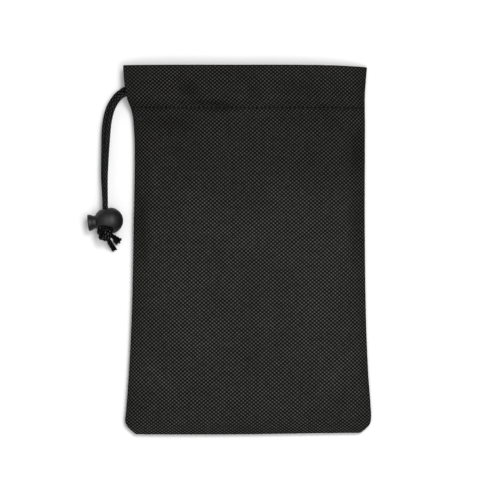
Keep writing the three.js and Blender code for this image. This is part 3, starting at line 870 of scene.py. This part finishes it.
def front_relief(u, x, y):
    """How far the front panel's cloth stands off its plain shape, from folds, swells and gathered seams."""
    calm = calm_share(u) * smooth((y - BOTTOM_Y) / (7 * MM))
    off_stitch = np.abs(y - STITCH_Y)
    groove = -0.6 * MM * bell(off_stitch / (0.45 * MM)) - 0.4 * MM * bell(off_stitch / (1.6 * MM))
    gathers = 0.11 * MM * puckers(x, 0.6) * np.exp(-off_stitch / (3.5 * MM)) * np.sign(y - STITCH_Y)
    side = from_seams(x, y)
    side_gathers = 0.16 * MM * puckers(y, 2.2 + np.sign(u)) * np.exp(-side / (4.5 * MM))
    bottom_gathers = 0.14 * MM * puckers(x, 4.0) * np.exp(-(y - BOTTOM_Y) / (5 * MM))
    return calm * (crease_relief(x, y) + swell(x, y) + groove + gathers + side_gathers + bottom_gathers)


def front_outer(u, y):
    """Outer face of the front panel."""
    seam_edge = SEAM_Z + 0.5 * MM + FABRIC
    share = channel_share(y) * (y > STITCH_Y)
    bulge = (CHANNEL_GAP - GAP) * 0.5 * share
    belly = PUFF_HEIGHT * np.sin(np.pi * np.clip((y + 60 * MM) / (STITCH_Y + 60 * MM), 0, 1))
    top = BODY_HEIGHT + belly + bulge
    edge = mix(seam_edge, OPEN_END_Z + bulge, open_end(u, y))
    return mix(seam_edge, mix(edge, top, crown(u)), bottom_rise(y))


def back_outer(u, y):
    """Outer face of the back panel, which is flat on the surface over most of the pouch."""
    seam_edge = SEAM_Z - 0.5 * MM - FABRIC
    rise = smooth((np.abs(u) - FLAT_SHARE) / (1 - FLAT_SHARE))
    end_rise = smooth(1 - np.clip((y - BOTTOM_Y) / (14 * MM), 0, 1))
    return seam_edge * np.maximum(rise * (1 - open_end(u, y)), end_rise)


def back_relief(u, x, y):
    """Low ripples that lift the back panel off the surface."""
    side = from_seams(x, y)
    groove = 0.3 * MM * bell((y - STITCH_Y) / (0.9 * MM))
    ripple = 0.12 * MM * (1 + puckers(y, 1.0)) * np.exp(-np.abs(side - 9 * MM) / (4 * MM))
    broad = 0.10 * MM * (1 + np.sin(2 * np.pi * (14 * x + 19 * y)))
    return calm_share(u) * (groove + ripple + broad)


# How far the mouth line drops and the bottom line lifts, along x.
MOUTH_DROP = curve_through([(-61, 0.2), (20, 0.25), (40, 0.4), (52, 0.75), (61, 1.1)])
BOTTOM_LIFT = curve_through([(-61, -0.6), (-20, -0.65), (2, -0.5), (26, -0.15), (48, 0.1), (61, 0.1)])


def settled(points):
    """Points of the sewn pouch moved to its slightly uneven mouth and bottom lines."""
    points = np.array(points, float)
    x, y = points[..., 0], points[..., 1]
    drop = MOUTH_DROP(x) * smooth(y / MOUTH_Y)
    lift = BOTTOM_LIFT(x) * smooth(y / BOTTOM_Y)
    points[..., 1] = y + lift - drop
    return points


CORE_COLUMNS = 150
PANEL_STEP = 0.86 * MM
ROLL_STEPS = 5
ALLOWANCE_STEPS = 4
FOLD_STEPS = 6
FOLD_RADIUS = (FABRIC + GAP) / 2  # of the cloth's turn at the mouth
TINY = 0.04 * MM  # the least size that a roll or allowance shrinks to


def core_stations():
    """Column positions across a cloth, from -1 to 1 and closer at the seams."""
    t = np.linspace(-1, 1, CORE_COLUMNS)
    return 0.6 * t + 0.4 * np.sin(np.pi * t / 2)


def panel_rows():
    """Row positions from the bottom seam to the mouth fold, closer at the seams and the stitches."""
    top = MOUTH_Y - FABRIC / 2 - FOLD_RADIUS
    near_bottom = BOTTOM_Y + FABRIC / 2 + np.array([0, 0.15, 0.35, 0.6, 0.95, 1.4, 2.0]) * MM
    middle = np.arange(near_bottom[-1] + PANEL_STEP, STITCH_Y - 2.2 * MM, PANEL_STEP)
    near_stitch = np.arange(STITCH_Y - 2 * MM, STITCH_Y + 2.05 * MM, 0.2 * MM)
    upper = np.linspace(STITCH_Y + 2.6 * MM, top, 24)
    return np.concatenate([near_bottom, middle, near_stitch, upper])


def facing_rows():
    """Row positions of a facing, from below the mouth fold to the hem's end."""
    upper = np.linspace(MOUTH_Y - FABRIC / 2 - FOLD_RADIUS, STITCH_Y + 2 * MM, 24)[1:]
    return np.concatenate([upper, np.arange(STITCH_Y + 1.5 * MM, HEM_END, -0.5 * MM), [HEM_END]])


def facing_x(u, y):
    """Where a facing's point lies: inset at the left, and short of the right seam round the cord's turn."""
    left = plan_x(-1, y) + 0.4 * MM + 2.2 * MM * (1 - open_end(np.array(-1.0), y))
    right = mix(plan_x(1, y) - 0.3 * MM, FACING_RIGHT, channel_share(y))
    return mix(left, right, (u + 1) / 2)


def cloth_grid(outward, panel_z, facing_z):
    """Centre surface of one cloth: bottom allowance, roll, panel, mouth fold and facing, as rows of points.

    outward is 1 for the front cloth, whose outer face looks up, and -1 for the back cloth.
    """
    u = core_stations()
    rows = []
    sides = []

    def add_row(x, y, z, left=TINY, right=TINY):
        rows.append(np.stack(np.broadcast_arrays(x, y, z), 1))
        sides.append((left, right))

    y_edge = BOTTOM_Y + FABRIC / 2
    edge_x = plan_x(u, y_edge)
    edge_z = panel_z(edge_x, y_edge)
    taper = smooth((1 - np.abs(u)) / 0.12)
    for k in range(ALLOWANCE_STEPS, 0, -1):
        reach = ROLL + ALLOWANCE * taper * k / ALLOWANCE_STEPS
        add_row(edge_x * (1 - 0.02 * k), y_edge + reach, edge_z - outward * ROLL)
    for k in range(ROLL_STEPS, 0, -1):
        angle = math.pi / 2 * k / ROLL_STEPS
        y = y_edge + ROLL * (1 - math.cos(angle))
        add_row(edge_x, y, edge_z - outward * ROLL * math.sin(angle))
    for y in panel_rows():
        x = plan_x(u, y)
        start = float(smooth((y - y_edge) / (9 * MM)))
        closed_left = 1 - float(smooth((y - 58 * MM) / (7 * MM)))
        add_row(x, y, panel_z(x, y), max(TINY, start * closed_left), max(TINY, start))
    top = panel_rows()[-1]
    above = rows[-1]
    below_x = facing_x(u, top)
    below_z = facing_z(below_x, top)
    for k in range(1, FOLD_STEPS):
        angle = math.pi * k / FOLD_STEPS
        share = (1 - math.cos(angle)) / 2
        lift = FOLD_RADIUS * math.sin(angle)
        add_row(mix(above[:, 0], below_x, share), above[:, 1] + lift, mix(above[:, 2], below_z, share))
    for y in (top, *facing_rows()):
        x = facing_x(u, y)
        add_row(x, y, facing_z(x, y))
    return with_side_seams(np.array(rows), np.array(sides), outward)


def with_side_seams(core, share, outward):
    """Adds to each row the cloth's roll at both side seams and the allowance behind it.

    share gives for each row how much of a roll and allowance it has at the left and at the right.
    """
    left, right = [], []
    for k in range(1, ROLL_STEPS + ALLOWANCE_STEPS + 1):
        turn = math.pi / 2 * min(1, k / ROLL_STEPS)
        beyond = max(0, k - ROLL_STEPS) / ALLOWANCE_STEPS
        for columns, edge, inward, column in ((left, core[:, 0], 1, 0), (right, core[:, -1], -1, 1)):
            part = np.clip(share[:, column], 0, 1)
            roll = np.maximum(part * ROLL, TINY)
            width = np.maximum(part * ALLOWANCE, TINY)
            point = edge.copy()
            point[:, 0] += inward * (roll * (1 - math.cos(turn)) + width * beyond)
            point[:, 2] -= outward * roll * math.sin(turn)
            columns.append(point)
    return np.concatenate([np.stack(left[::-1], 1), core, np.stack(right, 1)], 1)


def arc_coordinates(grid):
    """Flat-cloth coordinates of a grid of points: distance along the rows and along the columns."""
    across = np.cumsum(np.linalg.norm(np.diff(grid, axis=1), axis=2), axis=1)
    across = np.concatenate([np.zeros((len(grid), 1)), across], 1)
    middle = grid.shape[1] // 2
    across -= across[:, middle:middle + 1]
    along = distances(grid[:, middle])
    return np.stack([across, np.broadcast_to(along[:, None], across.shape)], -1)


def cloth_piece(name, grid, material):
    """A closed sheet of cloth of the fabric's thickness about a grid of centre points."""
    grid = settled(grid)
    rows, columns = grid.shape[:2]
    across = np.gradient(grid, axis=1)
    along = np.gradient(grid, axis=0)
    normal = np.cross(across, along)
    normal /= np.maximum(np.linalg.norm(normal, axis=2, keepdims=True), 1e-15)
    upper = (grid + normal * FABRIC / 2).reshape(-1, 3)
    lower = (grid - normal * FABRIC / 2).reshape(-1, 3)
    count = rows * columns
    quads = [grid_faces(rows, columns), grid_faces(rows, columns, count, flip=True)]
    number = np.arange(count).reshape(rows, columns)
    for rim, flip in ((number[0], True), (number[-1], False), (number[:, 0], False), (number[:, -1], True)):
        strip = np.stack([rim[:-1], rim[1:], rim[1:] + count, rim[:-1] + count], 1)
        quads.append(strip[:, ::-1] if flip else strip)
    flat = arc_coordinates(grid).reshape(-1, 2)
    piece = mesh_piece(name, np.vstack([upper, lower]), np.vstack(quads), material, "pouch",
                       np.vstack([flat, flat]), "cloth")
    # painted shade and highlight of creases, ridges and the stitch groove, kept as the fold attribute
    tone = painted_crease_shade(grid).ravel()
    piece.data.attributes.new("fold", "FLOAT", "POINT").data.foreach_set("value", np.tile(tone, 2))
    return piece


def front_panel_z(x, y):
    u = across_at(x, y)
    return front_outer(u, y) + front_relief(u, x, y) - FABRIC / 2


def front_facing_z(x, y):
    return front_panel_z(x, y) - FABRIC - channel_opening(y)


def back_panel_z(x, y):
    u = across_at(x, y)
    return back_outer(u, y) + back_relief(u, x, y) + FABRIC / 2


def back_facing_z(x, y):
    return back_panel_z(x, y) + FABRIC + channel_opening(y)


def make_cloth():
    material = cloth_material()
    front = cloth_piece("front_cloth", cloth_grid(1, front_panel_z, front_facing_z), material)
    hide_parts("front_panel", "front_hem_facing")
    back = cloth_piece("back_cloth", cloth_grid(-1, back_panel_z, back_facing_z), material)
    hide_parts("back_panel", "back_hem_facing")
    return front, back


# ---------------------------------------------------------------- the run inside the hem


def make_channel_run(material):
    def front_line(x, y):
        return float(front_panel_z(x, np.array(y)) - (FABRIC + CHANNEL_GAP) / 2)

    def back_line(x, y):
        return float(back_outer(across_at(x, y), np.array(y)) + FABRIC + CHANNEL_GAP / 2)

    spread = 1.2 * MM
    stations = np.r_[-57.6, np.arange(-54, 46, 3), 47] * MM
    apart = spread * (1 - np.clip((stations + 58 * MM) / (20 * MM), 0, 1))
    front = [(x, CHANNEL_Y - a, front_line(x, CHANNEL_Y - a)) for x, a in zip(stations, apart)]
    back = [(x, CHANNEL_Y + a, back_line(x, CHANNEL_Y + a)) for x, a in zip(stations, apart)][::-1]
    high, low = front_line(TURN_X, CHANNEL_Y), back_line(TURN_X, CHANNEL_Y)
    turn = [(TURN_X, CHANNEL_Y, high), (TURN_X + 1.9 * MM, CHANNEL_Y, mix(low, high, 0.72)),
            (TURN_X + 2.3 * MM, CHANNEL_Y, mix(low, high, 0.4)),
            (TURN_X + 0.6 * MM, CHANNEL_Y, low + 0.15 * MM)]
    line = settled(spaced([UPPER_LEG[0], *front, *turn, *back, LOWER_LEG[0]], 0.22 * MM))
    run = braided_tube("drawstring_hem_run", line, np.full(len(line), CORD / 2), material, sides=32)
    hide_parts("drawstring_channel_run")


# ---------------------------------------------------------------- stitching

THREAD_R = 0.17 * MM
THREAD_TWIST = 1.3 * MM
STITCH_LENGTH = 2.8 * MM
STITCH_GAP = 0.35 * MM
STITCH_DIP = 0.3 * MM  # how far a stitch's ends go into the cloth


def twisted_thread(line, tubes):
    """Adds one stitch's thread, three plies twisted together, along a line of points."""
    along = distances(line)
    angle, ring = rings_along(line, 12)
    ends = np.sqrt(np.clip(np.minimum(along, along[-1] - along) / (0.25 * MM), 0.1, 1))
    plies = np.cos(3 * angle[None] - 2 * np.pi * along[:, None] / THREAD_TWIST)
    tubes.add(line, along, angle, ring, THREAD_R * ends[:, None] * (0.88 + 0.16 * plies), THREAD_R)


def stitch_row(seam, start, end, lift, tubes):
    """Stitches along a seam: seam(s) gives points for s from start to end, lift the way out of the cloth."""
    pitch = STITCH_LENGTH + STITCH_GAP
    count = int((end - start) / pitch)
    for k in range(count):
        s = start + k * pitch + np.linspace(0, STITCH_LENGTH, 14)
        t = np.linspace(0, 1, 14)
        arch = np.sin(np.pi * t) ** 0.6
        twisted_thread(seam(s) + np.outer(mix(-STITCH_DIP, THREAD_R * 0.7, arch), lift), tubes)


def stitching_piece(name, rows, material, node):
    tubes = Tubes()
    for row in rows:
        row(tubes)
    piece = tubes.piece(name, material, "thread", settled)
    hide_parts(node)
    return piece


def make_stitching(material):
    def along_hem(height):
        def seam(x):
            y = np.full_like(x, STITCH_Y)
            return np.stack([x, y, height(x, y)], 1)
        return seam

    def front_face(x, y):
        return front_panel_z(x, y) + FABRIC / 2

    def front_inside(x, y):
        return front_facing_z(x, y) - FABRIC / 2

    def back_inside(x, y):
        return back_facing_z(x, y) + FABRIC / 2

    def back_face(x, y):
        return back_panel_z(x, y) - FABRIC / 2

    left, right = -55.5 * MM, 56 * MM
    up, down = np.array([0, 0, 1.0]), np.array([0, 0, -1.0])

    def row(seam, start, end, lift):
        return lambda tubes: stitch_row(seam, start, end, lift, tubes)

    front = stitching_piece("front_hem_stitches", [
        row(along_hem(front_face), left, right, up),
        row(along_hem(front_inside), -51 * MM, right - 3 * MM, down)], material, "front_hem_stitching")
    back = stitching_piece("back_hem_stitches", [
        row(along_hem(back_inside), -51 * MM, right - 3 * MM, up),
        row(along_hem(back_face), -51 * MM, 51 * MM, down)], material, "back_hem_stitching")

    def side_seam(edge, inward, z):
        return lambda y: np.stack([edge(y) + inward, y, np.full_like(y, z)], 1)

    inside = ROLL + FABRIC / 2 + 0.5 * MM
    above = SEAM_Z + FABRIC + 0.05 * MM
    below = SEAM_Z - FABRIC - 0.05 * MM

    def bar_tack(tubes):
        """Close stitches across the seam's end, below the channel's open end."""
        turn = np.linspace(0, np.pi, 12)
        for k in range(7):
            x = np.linspace(-54.2, -50.6, 12) * MM
            y = (63.3 + 0.13 * k) * MM + 0.12 * MM * np.sin(turn + k)
            z = front_face(x, y) + 0.1 * MM * np.sin(turn) ** 0.5
            twisted_thread(np.stack([x, y, z], 1), tubes)

    left_piece = stitching_piece("left_seam_stitches", [
        row(side_seam(left_edge, inside, above), -80 * MM, 60 * MM, up),
        row(side_seam(left_edge, inside, below), -80 * MM, 60 * MM, down), bar_tack],
        material, "left_seam_stitching")
    right_piece = stitching_piece("right_seam_stitches", [
        row(side_seam(right_edge, -inside, above), -80 * MM, 66 * MM, up),
        row(side_seam(right_edge, -inside, below), -80 * MM, 66 * MM, down)],
        material, "right_seam_stitching")

    def bottom(z):
        return lambda x: np.stack([x, np.full_like(x, BOTTOM_Y + inside), np.full_like(x, z)], 1)

    bottom_piece = stitching_piece("bottom_seam_stitches", [
        row(bottom(above), -46 * MM, 46 * MM, up),
        row(bottom(below), -46 * MM, 46 * MM, down)], material, "bottom_seam_stitching")
    return {"front": [front, left_piece, right_piece, bottom_piece], "back": [back]}


# ---------------------------------------------------------------- cord stop

BALL_R = 6.4 * MM
BALL = Vector((-67.2 * MM, 13.95 * MM, BALL_R))
BALL_STRETCH = 1.45 * MM  # towards the plunger's head
PLUNGER_TILT = math.radians(6)
PLUNGER_R = 3.2 * MM
BORE_R = 3.35 * MM
HEAD_R = 4 * MM
HEAD_FACE = -10.8 * MM
HEAD_RIM = 1.9 * MM
HEAD_FLARE_END = -8.55 * MM
PLUNGER_END = 0.9 * MM
BORE_END = 3.2 * MM
POCKET_R = 2.6 * MM
POCKET_END = 5 * MM
SLOT_LEFT, SLOT_RIGHT = -73.45 * MM, -68 * MM
SLOT_HEIGHT = 5.3 * MM
SLOT_CORNER = 1.4 * MM
CORD_HOLE_R = 2.65 * MM
CORD_HOLE_X = -69.6 * MM
FLARE_AXIS = Vector((-0.2, -0.88, 0.36)).normalized()  # the ball's lower mouth faces a little upwards
FLARE_START = 3.5 * MM
FLARE_START_R = 2.9 * MM
FLARE_R = 4.4 * MM
KNOT = Vector((-69.35 * MM, 8 * MM, 9.6 * MM))
KNOT_SEAT_R = 3.95 * MM
SPRING_R = 2.05 * MM
SPRING_WIRE = 0.36 * MM
SPRING_TURNS = 4.5
PLUNGER_AXIS = Vector((math.cos(PLUNGER_TILT), math.sin(PLUNGER_TILT), 0))


def lathe(name, profile, place, segments=96):
    """A solid of revolution about z from (height, radius) pairs, then put in place by a matrix."""
    angle = 2 * np.pi * np.arange(segments) / segments
    points, rows = [], 0
    for height, radius in profile:
        if radius > 0:
            points += [(radius * math.cos(a), radius * math.sin(a), height) for a in angle]
            rows += 1
    quads = grid_faces(rows, segments, closed=True).tolist()
    quads.append(list(range(segments))[::-1])
    quads.append([(rows - 1) * segments + k for k in range(segments)])
    solid = linked_mesh(name, points, quads)
    solid.data.transform(place)
    return solid


def fillet(height, radius, size, inwards, steps=6):
    """Rim points of a rounded edge at a lathed solid's end; inwards is +1 at the start and -1 at the end."""
    turn = np.linspace(math.pi / 2, 0, steps)
    return [(height + inwards * size * (1 - math.sin(a)), radius - size * (1 - math.cos(a))) for a in turn]


def ball_solid():
    """The stop's outer shape, from a subdivided cube: a ball drawn out towards the plunger's head."""
    built = bmesh.new()
    bmesh.ops.create_cube(built, size=2)
    bmesh.ops.subdivide_edges(built, edges=built.edges[:], cuts=47, use_grid_fill=True)
    for vertex in built.verts:
        out = vertex.co.normalized()
        drawn = BALL_STRETCH * float(smooth(0.5 - 6 * out.dot(PLUNGER_AXIS)))
        vertex.co = BALL + out * BALL_R - PLUNGER_AXIS * drawn
    mesh = bpy.data.meshes.new("ball")
    built.to_mesh(mesh)
    built.free()
    return linked("ball", mesh)


def cut(solid, *cutters):
    """Cuts the cutters out of a solid and removes them."""
    for cutter in cutters:
        modifier = solid.modifiers.new("cut", "BOOLEAN")
        modifier.operation = "DIFFERENCE"
        modifier.solver = "EXACT"
        modifier.object = cutter
        bpy.context.view_layer.update()
        result = bpy.data.meshes.new_from_object(solid.evaluated_get(bpy.context.evaluated_depsgraph_get()))
        solid.modifiers.clear()
        solid.data = result
        bpy.data.objects.remove(cutter)
    return solid


def finished(solid, name, material, body, node, sharp=32):
    """Smooth shading with sharp edges kept, and the piece's name, finish, body and CAD node."""
    solid.name = name
    solid.data.name = name
    solid.data.materials.clear()
    solid.data.materials.append(material)
    solid.data.polygons.foreach_set("use_smooth", np.ones(len(solid.data.polygons), bool))
    solid.data.set_sharp_from_angle(angle=math.radians(sharp))
    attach(solid, body)
    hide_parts(node)
    return solid


def along_y(origin):
    """Places a lathed solid's axis along +Y with its zero at origin."""
    return Matrix.Translation(origin) @ Matrix.Rotation(-math.pi / 2, 4, "X")


def from_ball(axis):
    """Places a lathed solid's axis along a direction from the ball's centre."""
    return Matrix.Translation(BALL) @ axis.to_track_quat("Z", "Y").to_matrix().to_4x4()


def make_stop_body(material):
    ball = ball_solid()
    hole = lathe("hole", [(-2 * BALL_R, CORD_HOLE_R), (2 * BALL_R, CORD_HOLE_R)],
                 along_y(Vector((CORD_HOLE_X, BALL.y, BALL.z))))
    rim = math.sqrt(BALL_R ** 2 - FLARE_R ** 2)
    slope = (FLARE_R - FLARE_START_R) / (rim - FLARE_START)
    middle = (mix(FLARE_START, rim, 0.6), mix(FLARE_START_R, FLARE_R, 0.5))
    flare_profile = [(FLARE_START, FLARE_START_R), middle, (rim, FLARE_R),
                     (2 * BALL_R, FLARE_R + 1.6 * slope * (2 * BALL_R - rim))]
    flare = lathe("flare", flare_profile, from_ball(FLARE_AXIS))
    seat_profile = [(-KNOT_SEAT_R * math.cos(a), KNOT_SEAT_R * math.sin(a))
                    for a in np.linspace(0.03, math.pi - 0.03, 40)]
    seat = lathe("seat", seat_profile, Matrix.Translation(KNOT))
    mouth = -BALL_STRETCH - math.sqrt(BALL_R ** 2 - BORE_R ** 2)
    bore = lathe("bore", [(-3 * BALL_R, BORE_R + 3 * MM), (mouth - 0.1 * MM, BORE_R + 0.3 * MM),
                          (mouth + 0.5 * MM, BORE_R), (BORE_END, BORE_R)], from_ball(PLUNGER_AXIS))
    pocket = lathe("pocket", [(0, POCKET_R), (POCKET_END, POCKET_R)], from_ball(PLUNGER_AXIS))
    cut(ball, hole, flare, seat, bore, pocket)
    return finished(ball, "cord_stop_ball", material, "cord_stop", "cord_stop_body")


def slot_cutter():
    """The cord slot's prism along Y, with rounded corners."""
    half = (SLOT_RIGHT - SLOT_LEFT) / 2 - SLOT_CORNER
    tall = SLOT_HEIGHT / 2 - SLOT_CORNER
    outline = []
    for corner, (cx, cz) in enumerate(((half, tall), (-half, tall), (-half, -tall), (half, -tall))):
        for k in range(9):
            angle = math.pi / 2 * (corner + k / 8)
            outline.append((cx + SLOT_CORNER * math.cos(angle), cz + SLOT_CORNER * math.sin(angle)))
    middle = (SLOT_LEFT + SLOT_RIGHT) / 2
    reach = 2 * PLUNGER_R
    points = [(middle + x, BALL.y + y, BALL.z + z) for y in (-reach, reach) for x, z in outline]
    count = len(outline)
    quads = [(k, (k + 1) % count, count + (k + 1) % count, count + k) for k in range(count)]
    return linked_mesh("slot", points, [*quads, list(range(count))[::-1], list(range(count, 2 * count))])


def make_plunger(material):
    head_end = HEAD_FACE + 0.7 * HEAD_RIM
    profile = [*fillet(HEAD_FACE, HEAD_R, 0.35 * MM, 1), (head_end - 0.3 * MM, HEAD_R - 0.04 * MM)]
    flare_end = HEAD_FLARE_END + 0.65 * MM
    profile += [(mix(head_end - 0.2 * MM, flare_end, t), mix(HEAD_R - 0.06 * MM, PLUNGER_R, float(t ** 1.1)))
                for t in np.linspace(0, 1, 10)]
    stem = np.linspace(flare_end + 0.3 * MM, PLUNGER_END - 0.4 * MM, 14)
    profile += [(h, PLUNGER_R) for h in stem]
    profile += fillet(PLUNGER_END, PLUNGER_R, 0.3 * MM, -1)[::-1]
    body = lathe("plunger", profile, from_ball(PLUNGER_AXIS), 128)
    cut(body, slot_cutter())
    return finished(body, "cord_stop_button", material, "plunger", "cord_stop_plunger")


def make_spring(material):
    start = PLUNGER_END + GAP + SPRING_WIRE / 2
    end = POCKET_END - GAP - SPRING_WIRE / 2
    t = np.linspace(0, 1, 220)
    angle = 2 * np.pi * SPRING_TURNS * t
    side = np.array([-math.sin(PLUNGER_TILT), math.cos(PLUNGER_TILT), 0])
    line = (np.array(BALL) + np.outer(mix(start, end, t), np.array(PLUNGER_AXIS))
            + SPRING_R * (np.outer(np.cos(angle), side) + np.outer(np.sin(angle), (0, 0, 1))))
    sides = 12
    _, ring = rings_along(line, sides, side)
    points = (line[:, None] + SPRING_WIRE / 2 * ring).reshape(-1, 3)
    quads = tube_faces(len(line), sides)
    spring = mesh_piece("cord_stop_coil", points, quads, material, "cord_stop")
    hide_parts("cord_stop_spring")
    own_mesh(spring)


# ---------------------------------------------------------------- assembly

make_camera()
cord_finish = cord_material()
cords = make_cords(cord_finish)
make_floor()
make_light()
front_cloth, back_cloth = make_cloth()
make_channel_run(cord_finish)
stitches = make_stitching(thread_material())
plastic = plastic_material()
make_stop_body(plastic)
make_plunger(plastic)
make_spring(steel_material())
declare_cords(cords)

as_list(stitches["front"])
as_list(stitches["back"])
